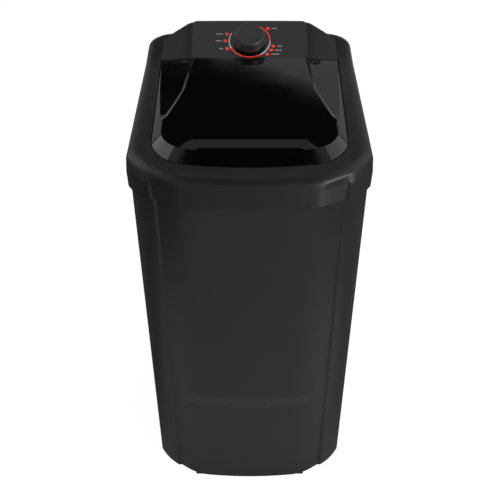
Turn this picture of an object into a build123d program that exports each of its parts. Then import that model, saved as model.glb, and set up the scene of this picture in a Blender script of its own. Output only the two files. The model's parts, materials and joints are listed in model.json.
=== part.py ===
from build123d import *
import math
import os

os.makedirs("parts", exist_ok=True)

# Semi-automatic washing machine. Millimetres, +X right, -Y front, +Z up.
# The origin is on the floor at the middle of the plan.

# Cabinet
cabinet_half_width = 257.0
cabinet_front = 293.0
cabinet_toe = 4.0
cabinet_back = 295.0
cabinet_top = 880.0
cabinet_draft = 6.0
cabinet_wall = 3.5
front_half = 145.0
front_bow = 10.0
facet_setback = 41.0
groove_inset = 61.0
pillar_step = 5.0
pillar_sag = 5.0
side_setback = 99.0
rear_corner = 40.0
rear_corner_sag = 11.7
cabinet_edge = 9.0
foot_height = 3.0
front_foot_inner = 113.0
front_foot_outer = 148.0
rear_foot_inner = 165.0
rear_foot_outer = 205.0
foot_depth = 42.0
foot_clearance = 1.0
foot_radius = 14.0
foot_stem = 5.0
ledge_width = 16.0
ledge_height = 3.0
base_screw_radius = 2.0
base_screw_head = 4.0
base_screw_head_height = 2.5
base_screw_edge = 5.0
slot_rows = 9
slot_pitch = 22.0
slot_half = 60.0
slot_width = 8.0
lower_recess_top = 316.0
lower_recess_bevel = 36.0
lower_recess_depth = 5.0
lower_recess_end = 178.0
badge_half_width = 50.0
badge_height = 38.0
badge_thickness = 2.0
badge_sink = 0.8
badge_gap = 0.2

# Back recess, its cover and what passes through it
service_half_width = 150.0
service_bottom = 60.0
service_top = 560.0
service_depth = 34.0
service_lip = 14.0
cover_thickness = 2.5
sheet_gap = 0.5
fitting_inset = 40.0
drain_z = 110.0
drain_radius = 12.0
drain_neck_radius = 13.0
drain_length = 27.0
gland_z = 110.0
gland_radius = 8.0
inlet_x = 120.0
inlet_z = 800.0
inlet_radius = 13.2
inlet_length = 24.0
inlet_pocket_half = 30.0
inlet_pocket_depth = 33.0
inlet_barb_radius = 8.0
cover_screw_radius = 2.0
cover_screw_head = 4.0
cover_screw_head_height = 2.5
louvre_rows = 12
louvre_half = 45.0
louvre_height = 5.0
louvre_pitch = 14.0

# Top frame
skirt_bottom = 874.0
skirt_lap = 5.0
skirt_front_lap = 7.0
bulge_z = 905.0
bulge_swell = 3.0
bulge_front_drop = 8.0
crown_z = 1120.0
crown_side_drop = 8.0
crown_front_drop = 55.0
frame_wall = 3.2
deck_thickness = 4.0
rim_angle = 10.0
rear_rim_angle = 17.0
support_inset = 15.0
support_wall = 3.0
frame_boss_inset = 28.0
frame_boss_y = 150.0
frame_boss_radius = 6.0
frame_screw_radius = 2.0
frame_screw_head = 4.5
frame_screw_length = 22.0

# Lid seat line: where the lid meets the panel, on the rim plane
seat_y = 190.0
seat_z = 1014.0

# Lid, in its own plane: x across, y up the slope from the seat line, z out of the rim plane
rim_width = 35.0
lid_taper = 9.0
lid_corner_y = -335.0
lid_nose_half = 136.0
lid_nose_y = -422.0
lid_nose_bow = 10.0
lid_corner_sag = 21.0
lid_rear_gap = 3.0
lid_gap = 1.5
lid_wall = 3.0
lid_skirt = 10.0
lid_bevel_start = -1.0
lid_bevel_height = 17.0
lid_bevel_side = 25.0
lid_bevel_nose = 37.0
well_depth = 16.0
well_wall = 3.0
crease_width = 7.0
scoop_rear_y = -344.0
scoop_rear_half = 123.0
scoop_front_y = -382.0
scoop_front_half = 149.0
scoop_bow = 15.0
scoop_slope = 23.0
scoop_top = 14.0
scoop_floor = -1.5
relief_radius = 42.5
relief_centre_y = 22.0
relief_floor = 1.5
buffer_radius = 6.0
buffer_gap = 0.3

# Stations along the lid: distance from the seat line, half width of the raised middle,
# height of the middle, height of the flank beside it and at the lid's side
lid_stations = [
    (6.0, 146.0, 8.0, 1.6, -0.6),
    (-76.0, 152.0, 9.2, 3.2, 1.0),
    (-147.0, 159.0, 10.3, 4.8, 2.8),
    (-199.0, 172.0, 11.1, 6.6, 5.0),
    (-275.0, 194.0, 12.4, 9.6, 8.8),
    (-340.0, 216.0, 13.4, 12.4, 12.2),
    (-450.0, 216.0, 13.6, 12.6, 12.4),
]

# Lid hinge
hinge_y = -12.0
hinge_z = 1.0
hinge_x = 163.0
hinge_pin_radius = 2.5
hinge_ear_radius = 5.0
hinge_ear_width = 10.0
hinge_notch_width = 12.0
hinge_notch_length = 14.0
hinge_cheek = 8.0
running_gap = 0.05

# Control panel
panel_front_half = 145.0
panel_rear_half = 149.0
panel_front_z = 1019.0
panel_rear_y = 297.0
panel_rear_z = 1081.0
wing_rear_y = 276.0
wing_front_z = 1014.6
wing_rear_z = 1041.0
panel_bottom = 1002.0
panel_wall = 3.0
panel_gap = 0.4
fascia_thickness = 1.5
fascia_margin = 1.0
panel_screw_x = 120.0
panel_screw_z = 1022.0

# Dial
dial_from_edge = 55.5
ring_outer = 53.5
ring_width = 3.0
print_height = 0.3
dot_radius = 4.6
dot_circle = 62.0
mark_length = 13.0
mark_height = 1.6
knob_base_radius = 41.0
knob_top_radius = 37.0
knob_height = 32.0
knob_lift = 2.0
knob_wall = 3.0
knob_roof = 12.0
knob_bevel = 3.0
knob_grip_turn = 35.0
knob_grip_tilt = 17.0
knob_grip_depth = 7.0
knob_ridge_height = 1.2
knob_ridge_inset = 5.0
timer_shaft_radius = 3.0
timer_width = 62.0
timer_depth = 52.0
timer_thickness = 36.0
timer_screw_circle = 20.0
timer_bush_radius = 7.0
timer_screw_radius = 2.0
terminal_length = 9.0

# Spans of the printed ring and places of the dots, in degrees clockwise from the top
ring_white_spans = [(0, 28), (92, 148), (243, 299)]
ring_red_spans = [(28, 92), (148, 243)]
dot_angles = [49, 106, 119, 134, 246, 270, 291]

# Tub
tub_side_room = 49.0
tub_top_front = -222.0
tub_top_back = 162.0
tub_side_draft = 20.0
tub_bottom_front = -204.0
tub_bottom_back = 144.0
tub_corner = 66.0
tub_wall = 3.0
tub_floor_z = 326.0
tub_floor = 4.0
flange_thickness = 3.0
mouth_inset = 16.0
mouth_front = -208.0
mouth_back = 152.0
mouth_corner = 70.0
collar_wall = 3.0
collar_drop = 12.0
bay_half = 150.0
bay_front = 192.0
bay_back = 272.0

# Drive
shaft_y = -30.0
shaft_radius = 10.0
shaft_bottom = 148.0
agitator_radius = 155.0
agitator_gap = 7.0
agitator_height = 152.0
agitator_rim = 5.0
agitator_wall = 5.0
agitator_skirt_radius = 62.0
agitator_skirt_rise = 35.0
agitator_neck_radius = 38.0
agitator_neck_rise = 55.0
agitator_top_drop = 7.0
agitator_top_inset = 6.0
blade_thickness = 7.0
blade_count = 4
blade_root = 20.0
blade_tip_rise = 14.0
blade_shoulder_inset = 47.0
blade_shoulder_rise = 58.0
blade_waist_radius = 44.0
blade_waist_rise = 98.0
cap_radius = 22.0
cap_plug_radius = 12.0
cap_plug_depth = 12.0
cap_rise = 8.0
agitator_head_radius = 8.0
agitator_head_height = 5.0
housing_radius = 26.0
housing_flange = 55.0
housing_bottom = 232.0
bush_radius = 15.0
bush_length = 25.0
seal_height = 7.0
seal_radius = 18.0
seal_clearance = 0.08
nut_radius = 38.0
nut_height = 8.0
column_radius = 30.0
socket_depth = 16.0
socket_roof = 10.0
agitator_screw_depth = 28.0
housing_rise = 22.0
socket_clearance = 5.0
shaft_seat_gap = 0.03
driven_radius = 110.0
pulley_width = 20.0
belt_z = 170.0
belt_width = 8.0
belt_thickness = 8.0
belt_gap = 0.3
groove_depth = 7.0
pulley_rim = 8.0
pulley_web = 6.0
pulley_hub_radius = 24.0
pulley_hole_radius = 16.0
pulley_hole_circle = 62.0
pulley_hole_count = 6
motor_y = 120.0
motor_radius = 62.0
motor_shaft_radius = 6.0
motor_pulley_radius = 24.0
stator_bottom = 215.0
stator_height = 55.0
bell_height = 25.0
winding_height = 14.0
winding_inner = 36.0
winding_outer = 52.0
rotor_radius = 30.0
rotor_gap = 0.6
lug_height = 4.0
lug_radius = 12.0
bracket_z = 306.0
bracket_thickness = 3.0
bracket_half = 130.0
bracket_front = -95.0
bracket_back = 195.0
bracket_bolt_x = 105.0
bracket_bolt_front = -75.0
bracket_bolt_back = 125.0
motor_bolt_x = 66.0
motor_bolt_y = 42.0
bolt_radius = 3.0
bolt_head = 5.5
bolt_head_height = 4.0
grommet_radius = 9.0
grommet_height = 6.0
capacitor_x = -106.0
capacitor_y = 60.0
capacitor_radius = 20.0
capacitor_length = 74.0
clamp_band = 20.0

# Drain and inlet hoses, wiring
outlet_x = -152.0
outlet_y = 40.0
hose_radius = 16.0
hose_bore = 13.2
inlet_hose_radius = 10.0
inlet_hose_bore = 8.0
clamp_width = 9.0
clamp_wall = 1.2
barb_length = 26.0
drain_wall = 2.0
drain_flange = 19.0
drain_flange_thickness = 4.0
outlet_length = 24.0
nozzle_z = 850.0
wire_radius = 3.5
wire_x = -30.0
wire_top_z = 820.0
wire_bottom_z = 380.0

# Lint filter
filter_half = 58.0
filter_bottom = 700.0
filter_height = 140.0
filter_y = 136.0
filter_thickness = 7.0
filter_bar = 8.0
filter_gap = 0.4
rail_arm = 5.0
mesh_pitch = 9.0
mesh_hole = 6.5

# Worked out from the sizes above
skirt_half_width = cabinet_half_width + skirt_lap
skirt_front = cabinet_front + skirt_front_lap
frame_back = cabinet_back + skirt_lap
bulge_half_width = skirt_half_width + bulge_swell
bulge_front = skirt_front - bulge_front_drop
crown_half_width = bulge_half_width - crown_side_drop
crown_front = bulge_front - crown_front_drop
frame_boss_x = cabinet_half_width - frame_boss_inset
lid_rear_half = cabinet_half_width - rim_width
lid_front_half = lid_rear_half - lid_taper
wing_half = lid_rear_half
tub_top_half = cabinet_half_width - tub_side_room
tub_bottom_half = tub_top_half - tub_side_draft
mouth_half = tub_top_half - mouth_inset
rim_slope = math.tan(math.radians(rim_angle))
rear_rim_slope = math.tan(math.radians(rear_rim_angle))
flange_z = cabinet_top
flange_top = flange_z + flange_thickness
tub_inside_z = tub_floor_z + tub_floor
panel_rise = panel_rear_z - panel_front_z
panel_run = panel_rear_y - seat_y
panel_angle = math.degrees(math.atan2(panel_rise, panel_run))
panel_slope_length = math.hypot(panel_rise, panel_run)
dial_y = seat_y + dial_from_edge * math.cos(math.radians(panel_angle))
dial_z = panel_front_z + dial_from_edge * math.sin(math.radians(panel_angle))
lid_frame = Location((0, seat_y, seat_z), (rim_angle, 0, 0))
dial_frame = Location((0, dial_y, dial_z), (panel_angle, 0, 0))
back_inside = cabinet_back - cabinet_wall
service_cover_y = cabinet_back - service_depth
gland_x = service_half_width - fitting_inset
drain_x = -gland_x
housing_top = tub_inside_z + housing_rise
agitator_base = tub_inside_z + agitator_gap
agitator_top = agitator_base + agitator_height
socket_bottom = housing_top + socket_clearance
socket_top = socket_bottom + socket_depth
agitator_head_bottom = socket_top + socket_roof
foot_stem_top = cabinet_edge + ledge_height
base_cover_z = cabinet_edge + ledge_height
ledge_z = base_cover_z + ledge_height
cover_inset = cabinet_wall + lower_recess_depth + sheet_gap
recess_reach = lower_recess_end + lower_recess_depth
badge_tilt = math.degrees(math.atan2(lower_recess_depth, lower_recess_bevel))
badge_z = lower_recess_top - lower_recess_bevel / 2
timer_top = -fascia_thickness - panel_wall
timer_shaft_top = knob_lift + knob_height - knob_roof
belt_low = belt_z - belt_width / 2
belt_high = belt_z + belt_width / 2
stator_top = stator_bottom + stator_height
bell_top = stator_top + bell_height
lug_top = bracket_z - grommet_height
capacitor_top = bracket_z - 4.0
outlet_bottom = tub_floor_z - outlet_length
nozzle_y = tub_top_back
drain_inner_y = service_cover_y - drain_flange_thickness
drain_hose_end = drain_inner_y - 2.0

# How far each side of an outline bows out, corner by corner
plan_sags = [0, 0, pillar_sag, 0, rear_corner_sag, 0, rear_corner_sag, 0, pillar_sag, 0, 0, front_bow]
recess_sags = [0, 0, -front_bow, 0, 0, 0]
lid_sags = [lid_corner_sag, 0, 0, 0, lid_corner_sag, lid_nose_bow]


def rod(radius, bottom, top, x=0.0, y=0.0):
    """Upright cylinder between two heights."""
    return Pos(x, y, (bottom + top) / 2) * Cylinder(radius, top - bottom)


def rod_y(radius, front, back, x=0.0, z=0.0):
    """Cylinder along Y between two depths."""
    return Pos(x, (front + back) / 2, z) * Rot(90, 0, 0) * Cylinder(radius, back - front)


def rod_x(radius, left, right, y=0.0, z=0.0):
    """Cylinder along X between two places."""
    return Pos((left + right) / 2, y, z) * Rot(0, 90, 0) * Cylinder(radius, right - left)


def block(x0, x1, y0, y1, z0, z1):
    """Box between two corners."""
    return Pos((x0 + x1) / 2, (y0 + y1) / 2, (z0 + z1) / 2) * Box(x1 - x0, y1 - y0, z1 - z0)


def turned(profile):
    """Solid of revolution about Z from (radius, height) points."""
    face = make_face(Polyline(*[(r, 0, z) for r, z in profile], close=True))
    return revolve(face, Axis.Z, 360)


def prism_x(points, half):
    """Solid of a (y, z) outline, as wide as half on each side of the middle."""
    face = make_face(Polyline(*[(0, y, z) for y, z in points], close=True))
    return extrude(face, amount=half, dir=(1, 0, 0), both=True)


def grown(points, amount):
    """Corners of an anticlockwise outline moved outwards by an amount."""
    moved = []
    count = len(points)
    for i in range(count):
        before, here, after = points[i - 1], points[i], points[(i + 1) % count]
        in_x, in_y = here[0] - before[0], here[1] - before[1]
        out_x, out_y = after[0] - here[0], after[1] - here[1]
        in_length, out_length = math.hypot(in_x, in_y), math.hypot(out_x, out_y)
        n1 = (in_y / in_length, -in_x / in_length)
        n2 = (out_y / out_length, -out_x / out_length)
        scale = amount / (1 + n1[0] * n2[0] + n1[1] * n2[1])
        moved.append((here[0] + scale * (n1[0] + n2[0]), here[1] + scale * (n1[1] + n2[1])))
    return moved


def outline_wire(points, sags, z):
    """Closed wire through the corners, each side straight or bowed outwards by its sag."""
    edges = []
    count = len(points)
    for i in range(count):
        start, end = points[i], points[(i + 1) % count]
        if sags[i] == 0:
            edges.append(Edge.make_line((*start, z), (*end, z)))
        else:
            dx, dy = end[0] - start[0], end[1] - start[1]
            length = math.hypot(dx, dy)
            middle = (
                (start[0] + end[0]) / 2 + sags[i] * dy / length,
                (start[1] + end[1]) / 2 - sags[i] * dx / length,
            )
            edges.append(Edge.make_three_point_arc((*start, z), (*middle, z), (*end, z)))
    return Wire(edges)


def prism(points, sags, bottom, top):
    """Upright solid of an outline between two heights."""
    return Solid.make_loft([outline_wire(points, sags, bottom), outline_wire(points, sags, top)], True)


def mirrored_outline(right):
    """Full outline from its right-hand corners, listed from front to back."""
    return right + [(-x, y) for x, y in reversed(right)]


# Plan of the cabinet and of the top frame

def plan_points(half, front, back):
    """Corners of the plan: bowed front, corner facet, step, pillar, side and rounded back corner."""
    facet_x, facet_y = half - groove_inset, -front + facet_setback
    run_x, run_y = facet_x - front_half, facet_setback - front_bow
    length = math.hypot(run_x, run_y)
    right = [
        (front_half, -front + front_bow),
        (facet_x, facet_y),
        (facet_x + pillar_step * run_y / length, facet_y - pillar_step * run_x / length),
        (half, -front + side_setback),
        (half, back - rear_corner),
        (half - rear_corner, back),
    ]
    return mirrored_outline(right)


def cabinet_points(z, grow=0.0):
    """Cabinet plan at a height, with the moulding draft of its sides."""
    share = 1 - z / cabinet_top
    half = cabinet_half_width - cabinet_draft * share
    return grown(plan_points(half, cabinet_front + cabinet_toe * share, cabinet_back), grow)


def cabinet_loft(bottom, top, bottom_grow, top_grow):
    """Solid between two cabinet plans."""
    low = outline_wire(cabinet_points(bottom, bottom_grow), plan_sags, bottom)
    high = outline_wire(cabinet_points(top, top_grow), plan_sags, top)
    return Solid.make_loft([low, high], True)


def frame_loft(grow, bottom=skirt_bottom):
    """Top frame body: skirt, bulge and inward slope up to its crown."""
    levels = [
        (bottom, skirt_half_width, skirt_front),
        (bulge_z, bulge_half_width, bulge_front),
        (crown_z, crown_half_width, crown_front),
    ]
    wires = []
    for z, half, front in levels:
        wires.append(outline_wire(grown(plan_points(half, front, frame_back), grow), plan_sags, z))
    return Solid.make_loft(wires, True)


def above_rim(drop=0.0):
    """Everything above the rim surface, lowered by an amount."""
    reach = 2 * frame_back
    front = (-reach, seat_z - drop - rim_slope * (reach + seat_y))
    seat = (seat_y, seat_z - drop)
    rear = (reach, seat_z - drop + rear_rim_slope * (reach - seat_y))
    return prism_x([front, seat, rear, (reach, 2 * crown_z), (-reach, 2 * crown_z)], reach)


# Cabinet

def foot_zones(grow=0.0):
    """Four blocks of plan where the cabinet reaches down to its feet."""
    top = cabinet_edge + 3 * ledge_height
    rear_y = cabinet_back - foot_depth - grow
    front_y = -cabinet_front + foot_depth + grow
    zones = []
    for side in (-1, 1):
        front_x = sorted((side * (front_foot_inner - grow), side * (front_foot_outer + grow)))
        rear_x = sorted((side * (rear_foot_inner - grow), side * (rear_foot_outer + grow)))
        zones.append(block(*front_x, -skirt_front, front_y, foot_height, top))
        zones.append(block(*rear_x, rear_y, cabinet_back, foot_height, top))
    return zones


def foot_places():
    """Centres of the four rubber feet."""
    front_x = (front_foot_inner + front_foot_outer) / 2
    rear_x = (rear_foot_inner + rear_foot_outer) / 2
    front_y = -cabinet_front + front_bow + foot_depth / 2 + cabinet_wall / 2
    rear_y = cabinet_back - foot_depth / 2 - cabinet_wall / 2
    return [(-front_x, front_y), (front_x, front_y), (-rear_x, rear_y), (rear_x, rear_y)]


def base_screw_places():
    """Screws of the base cover, into the ledge inside the cabinet's lower edge."""
    side_x = cabinet_half_width - cabinet_draft - cover_inset - base_screw_edge
    rear_y = cabinet_back - cover_inset - base_screw_edge
    places = []
    for side in (-1, 1):
        places.append((side * side_x, -side_setback))
        places.append((side * side_x, side_setback))
        places.append((side * side_setback, rear_y))
    return places


def recess_points(z, depth):
    """Plan of the space in front of the lower front: its ends slope out to the corner facets."""
    (bow_x, bow_y), (facet_x, facet_y) = cabinet_points(z)[:2]
    facet_slope = (facet_y - bow_y) / (facet_x - bow_x)
    end_slope = facet_slope - lower_recess_depth / (lower_recess_end - front_half)
    right = [
        (recess_reach, -skirt_front - facet_setback),
        (recess_reach, bow_y + depth + end_slope * (recess_reach - bow_x)),
        (bow_x, bow_y + depth),
    ]
    return mirrored_outline(right)


def lower_recess():
    """Space in front of the set-back lower part of the front, below its bevelled band."""
    levels = [
        (0, lower_recess_depth),
        (lower_recess_top - lower_recess_bevel, lower_recess_depth),
        (lower_recess_top, 0),
    ]
    wires = [outline_wire(recess_points(z, depth), recess_sags, z) for z, depth in levels]
    return Solid.make_loft(wires, True)


def back_pocket(x0, x1, z0, z1, depth):
    """Recessed tray in the back wall: walls as deep as stated, closed at the bottom."""
    outer = block(
        x0 - cabinet_wall, x1 + cabinet_wall,
        cabinet_back - depth - cabinet_wall, cabinet_back,
        z0 - cabinet_wall, z1 + cabinet_wall,
    )
    inner = block(x0, x1, cabinet_back - depth, cabinet_back + cabinet_wall, z0, z1)
    return outer, inner


def service_screw_places():
    """Screws of the back cover, in its lip."""
    x = service_half_width - service_lip / 2
    z0 = service_bottom + service_lip / 2
    z1 = service_top - service_lip / 2
    return [(s * x, z) for s in (-1, 1) for z in (z0, (z0 + z1) / 2, z1)]


def service_window():
    """Opening inside the lip that the back cover closes."""
    half = service_half_width - service_lip
    front = service_cover_y - 2 * cabinet_wall
    return block(-half, half, front, cabinet_back, service_bottom + service_lip, service_top - service_lip)


def cabinet():
    outer = cabinet_loft(foot_height, cabinet_top, 0, 0) - lower_recess()
    inner = cabinet_loft(0, cabinet_top + 1, -cabinet_wall, -cabinet_wall)
    backing_grow = -lower_recess_depth - cabinet_wall
    recess_backing = cabinet_loft(foot_height, lower_recess_top, backing_grow, backing_grow)
    front_zone = block(
        -recess_reach, recess_reach, -skirt_front, -cabinet_front + side_setback,
        foot_height, lower_recess_top,
    )
    shell = outer - (inner - (front_zone - recess_backing))
    ledge_grow = -cabinet_wall - ledge_width
    ledge_outer = cabinet_loft(ledge_z, ledge_z + ledge_height, -cabinet_wall / 2, -cabinet_wall / 2)
    ledge_inner = cabinet_loft(ledge_z - 1, ledge_z + ledge_height + 1, ledge_grow, ledge_grow)
    tray, hollow = back_pocket(
        -service_half_width, service_half_width, service_bottom, service_top, service_depth,
    )
    pocket, pocket_hollow = back_pocket(
        inlet_x - inlet_pocket_half, inlet_x + inlet_pocket_half,
        inlet_z - inlet_pocket_half, inlet_z + inlet_pocket_half, inlet_pocket_depth,
    )
    feet = [(zone & outer) for zone in foot_zones()]
    under = block(-skirt_front, skirt_front, -skirt_front, frame_back, 0, cabinet_edge)
    shell = shell + [(ledge_outer - ledge_inner) & outer, tray, pocket]
    shell = shell - [under, hollow, pocket_hollow, service_window(), badge_seat()]
    shell = shell + feet
    holes = [rod(foot_stem, 0, foot_stem_top, x, y) for x, y in foot_places()]
    holes += [rod(base_screw_radius, 0, 2 * ledge_z, x, y) for x, y in base_screw_places()]
    holes += [rod_y(cover_screw_radius, 0, cabinet_back, x, z) for x, z in service_screw_places()]
    holes.append(rod_y(inlet_barb_radius, 0, cabinet_back, inlet_x, inlet_z))
    return shell - holes


def badge_solid(grow, thickness):
    """Bare plate lying on the bevelled band in the middle of the front."""
    half = badge_half_width + grow
    tall = badge_height / 2 + grow
    plate = block(-half, half, -thickness, 0, -tall, tall)
    centre_y = -cabinet_front + lower_recess_depth / 2 + badge_sink
    return Location((0, centre_y, badge_z), (-badge_tilt, 0, 0)) * plate


def badge_seat():
    return badge_solid(badge_gap, 4 * badge_thickness)


def badge_plate():
    plate = badge_solid(0, badge_thickness)
    return chamfer(plate.faces().sort_by(Axis.Y)[0].edges(), 0.7)


def base_cover():
    plate = cabinet_loft(base_cover_z, base_cover_z + ledge_height, -cover_inset, -cover_inset)
    cuts = [rod(base_screw_radius, 0, 2 * ledge_z, x, y) for x, y in base_screw_places()]
    cuts += foot_zones(foot_clearance)
    for i in range(slot_rows):
        y = (i - slot_rows / 2) * slot_pitch
        cuts.append(block(-slot_half, slot_half, y, y + slot_width, 0, 2 * ledge_z))
    return plate - cuts


def base_screws():
    screws = []
    for x, y in base_screw_places():
        head = rod(base_screw_head, base_cover_z - base_screw_head_height, base_cover_z, x, y)
        screws.append(head + rod(base_screw_radius, base_cover_z, ledge_z + ledge_height + 4, x, y))
    return Compound(screws)


def rubber_feet():
    feet = []
    for x, y in foot_places():
        pad = rod(foot_radius, 0, foot_height, x, y)
        pad = chamfer(pad.faces().sort_by(Axis.Z)[0].edges(), 1.0)
        feet.append(pad + rod(foot_stem - running_gap, foot_height, foot_stem_top, x, y))
    return Compound(feet)


def back_cover():
    plate = block(
        -service_half_width + sheet_gap, service_half_width - sheet_gap,
        service_cover_y, service_cover_y + cover_thickness,
        service_bottom + sheet_gap, service_top - sheet_gap,
    )
    cuts = [rod_y(cover_screw_radius, 0, cabinet_back, x, z) for x, z in service_screw_places()]
    cuts.append(rod_y(drain_neck_radius, 0, cabinet_back, drain_x, drain_z))
    cuts.append(rod_y(gland_radius, 0, cabinet_back, gland_x, gland_z))
    for side in (-1, 1):
        for i in range(louvre_rows):
            x = side * service_half_width / 2
            z = (service_bottom + service_top) / 2 + (i - louvre_rows / 2) * louvre_pitch
            cuts.append(block(x - louvre_half, x + louvre_half, 0, cabinet_back, z, z + louvre_height))
    return plate - cuts


def back_cover_screws():
    screws = []
    outer = service_cover_y + cover_thickness
    for x, z in service_screw_places():
        head = rod_y(cover_screw_head, outer, outer + cover_screw_head_height, x, z)
        screws.append(head + rod_y(cover_screw_radius, service_cover_y - 10, outer, x, z))
    return Compound(screws)


# Lid outlines in the lid's own plane

def lid_points(side_inset=0.0, nose_inset=0.0, rear_inset=0.0):
    """Lid outline with its sides, nose and rear edge moved inwards."""
    right = [
        (lid_nose_half - side_inset / 2, lid_nose_y + nose_inset),
        (lid_front_half - side_inset, lid_corner_y + nose_inset / 2),
        (lid_rear_half - side_inset, -rear_inset),
    ]
    return mirrored_outline(right)


def lid_prism(grow, bottom, top, rear_inset=0.0):
    """Upright solid of the lid outline, grown by an amount."""
    return prism(grown(lid_points(rear_inset=rear_inset), grow), lid_sags, bottom, top)


def lid_edge_form(wall=0.0):
    """Lid outline with its upright edge and the bevel above it."""
    points = grown(lid_points(rear_inset=lid_rear_gap), -wall)
    upper = grown(lid_points(lid_bevel_side, lid_bevel_nose, lid_rear_gap), -wall)
    start = lid_bevel_start - wall / 2
    bottom = -lid_skirt - (wall > 0)
    lower = prism(points, lid_sags, bottom, start)
    bevel = Solid.make_loft(
        [outline_wire(points, lid_sags, start), outline_wire(upper, lid_sags, start + lid_bevel_height)],
        True,
    )
    return lower + bevel


def lid_top_form(drop=0.0):
    """Body whose top is the lid's raised middle, its creases and its flanks."""
    side = lid_rear_half + 20
    wires = []
    for y, crease, middle, flank, edge in lid_stations:
        top = crease - crease_width
        section = [
            (-side, -2 * lid_skirt), (side, -2 * lid_skirt), (side, edge - drop),
            (crease, flank - drop), (top, middle - drop), (-top, middle - drop),
            (-crease, flank - drop), (-side, edge - drop),
        ]
        wires.append(Wire(Polyline(*[(x, y, z) for x, z in section], close=True).edges()))
    return Solid.make_loft(wires, True)


def scoop_form(grow=0.0):
    """Finger scoop near the nose: sloped rear wall, flared ends and a bowed front."""
    sags = [scoop_bow, 0, 0, 0]
    low = [
        (-scoop_front_half + 9, scoop_front_y - 1),
        (scoop_front_half - 9, scoop_front_y - 1),
        (scoop_rear_half - 13, scoop_rear_y - scoop_slope),
        (-scoop_rear_half + 13, scoop_rear_y - scoop_slope),
    ]
    high = [
        (-scoop_front_half, scoop_front_y),
        (scoop_front_half, scoop_front_y),
        (scoop_rear_half, scoop_rear_y),
        (-scoop_rear_half, scoop_rear_y),
    ]
    return Solid.make_loft(
        [
            outline_wire(grown(low, grow), sags, scoop_floor - grow),
            outline_wire(grown(high, grow), sags, scoop_top),
        ],
        True,
    )


def hinge_notch(side):
    """Open-ended notch of the lid around one hinge ear."""
    half = hinge_notch_width / 2
    return block(
        side * hinge_x - half, side * hinge_x + half,
        hinge_y - hinge_notch_length, 10,
        -2 * lid_skirt, 3 * lid_skirt,
    )


def hinge_cheeks(side):
    """Solid blocks of the lid on both sides of one hinge ear."""
    half = hinge_notch_width / 2 + hinge_cheek
    return block(
        side * hinge_x - half, side * hinge_x + half,
        hinge_y - hinge_notch_length - lid_wall, -lid_rear_gap,
        hinge_z - 8, 3 * lid_skirt,
    )


def lid():
    outer = lid_edge_form() & lid_top_form()
    hollow = lid_edge_form(lid_wall) & lid_top_form(lid_wall)
    shell = outer - hollow
    shell = shell + (scoop_form(lid_wall) & outer)
    relief_wall = rod(relief_radius + lid_wall, relief_floor - lid_wall, 3 * lid_skirt, 0, relief_centre_y)
    shell = shell + (relief_wall & outer)
    for side in (-1, 1):
        shell = shell + (hinge_cheeks(side) & outer)
    shell = shell - scoop_form()
    shell = shell - rod(relief_radius, relief_floor, 3 * lid_skirt, 0, relief_centre_y)
    for side in (-1, 1):
        shell = shell - hinge_notch(side)
        reach = hinge_notch_width / 2 + hinge_cheek + 1
        bore = rod_x(
            hinge_pin_radius + running_gap, side * hinge_x - reach, side * hinge_x + reach,
            hinge_y, hinge_z,
        )
        shell = shell - bore
    return lid_frame * shell


def hinge_ears():
    """Ears of the top frame that carry the lid's pins, in the lid's own plane."""
    ears = []
    for side in (-1, 1):
        x0 = side * hinge_x - hinge_ear_width / 2
        x1 = side * hinge_x + hinge_ear_width / 2
        post = block(
            x0, x1, hinge_y - hinge_ear_radius, hinge_y + hinge_ear_radius,
            -well_depth - well_wall / 2, hinge_z,
        )
        eye = rod_x(hinge_ear_radius, x0, x1, hinge_y, hinge_z)
        hole = rod_x(hinge_pin_radius, x0 - 1, x1 + 1, hinge_y, hinge_z)
        ears.append(post + eye - hole)
    return ears


def hinge_pins():
    pins = []
    reach = hinge_notch_width / 2 + hinge_cheek - 1
    for side in (-1, 1):
        pin = rod_x(hinge_pin_radius, side * hinge_x - reach, side * hinge_x + reach, hinge_y, hinge_z)
        pins.append(lid_frame * chamfer(pin.edges().filter_by(GeomType.CIRCLE), 0.4))
    return Compound(pins)


def lid_buffers():
    pads = []
    top = -lid_skirt - buffer_gap
    inset = lid_wall + 3
    side_x = (lid_front_half + lid_rear_half) / 2 - inset
    for side in (-1, 1):
        pads.append(lid_frame * rod(buffer_radius, -well_depth, top, side * side_x, lid_corner_y / 2))
        nose_y = lid_nose_y + inset + 1
        pads.append(lid_frame * rod(buffer_radius, -well_depth, top, side * lid_nose_half, nose_y))
    return Compound(pads)


# Top frame

def mouth_points(grow=0.0):
    return rounded_box(
        -mouth_half - grow, mouth_half + grow, mouth_front - grow, mouth_back + grow,
        mouth_corner + grow,
    )


def rounded_box(x0, x1, y0, y1, radius):
    """Eight corners of a rectangle with rounded corners, anticlockwise."""
    return [
        (x0 + radius, y0), (x1 - radius, y0), (x1, y0 + radius), (x1, y1 - radius),
        (x1 - radius, y1), (x0 + radius, y1), (x0, y1 - radius), (x0, y0 + radius),
    ]


def corner_sags(radius):
    """Sags of a rounded rectangle: straight sides and quarter round corners."""
    sag = radius * (1 - math.cos(math.pi / 4))
    return [0, sag] * 4


def panel_footprint(grow=0.0):
    right = [(wing_half, seat_y), (wing_half, wing_rear_y), (panel_rear_half, panel_rear_y)]
    return grown(mirrored_outline(right), grow)


def panel_seat():
    """Tray under the control panel, joined to the frame's back and sides."""
    flat = [0] * 6
    tray = prism(panel_footprint(panel_gap + deck_thickness), flat, panel_bottom - panel_wall, crown_z)
    return tray & frame_loft(-frame_wall / 2)


def frame_screw_places():
    return [(sx * frame_boss_x, sy * frame_boss_y) for sx in (-1, 1) for sy in (-1, 1)]


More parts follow.
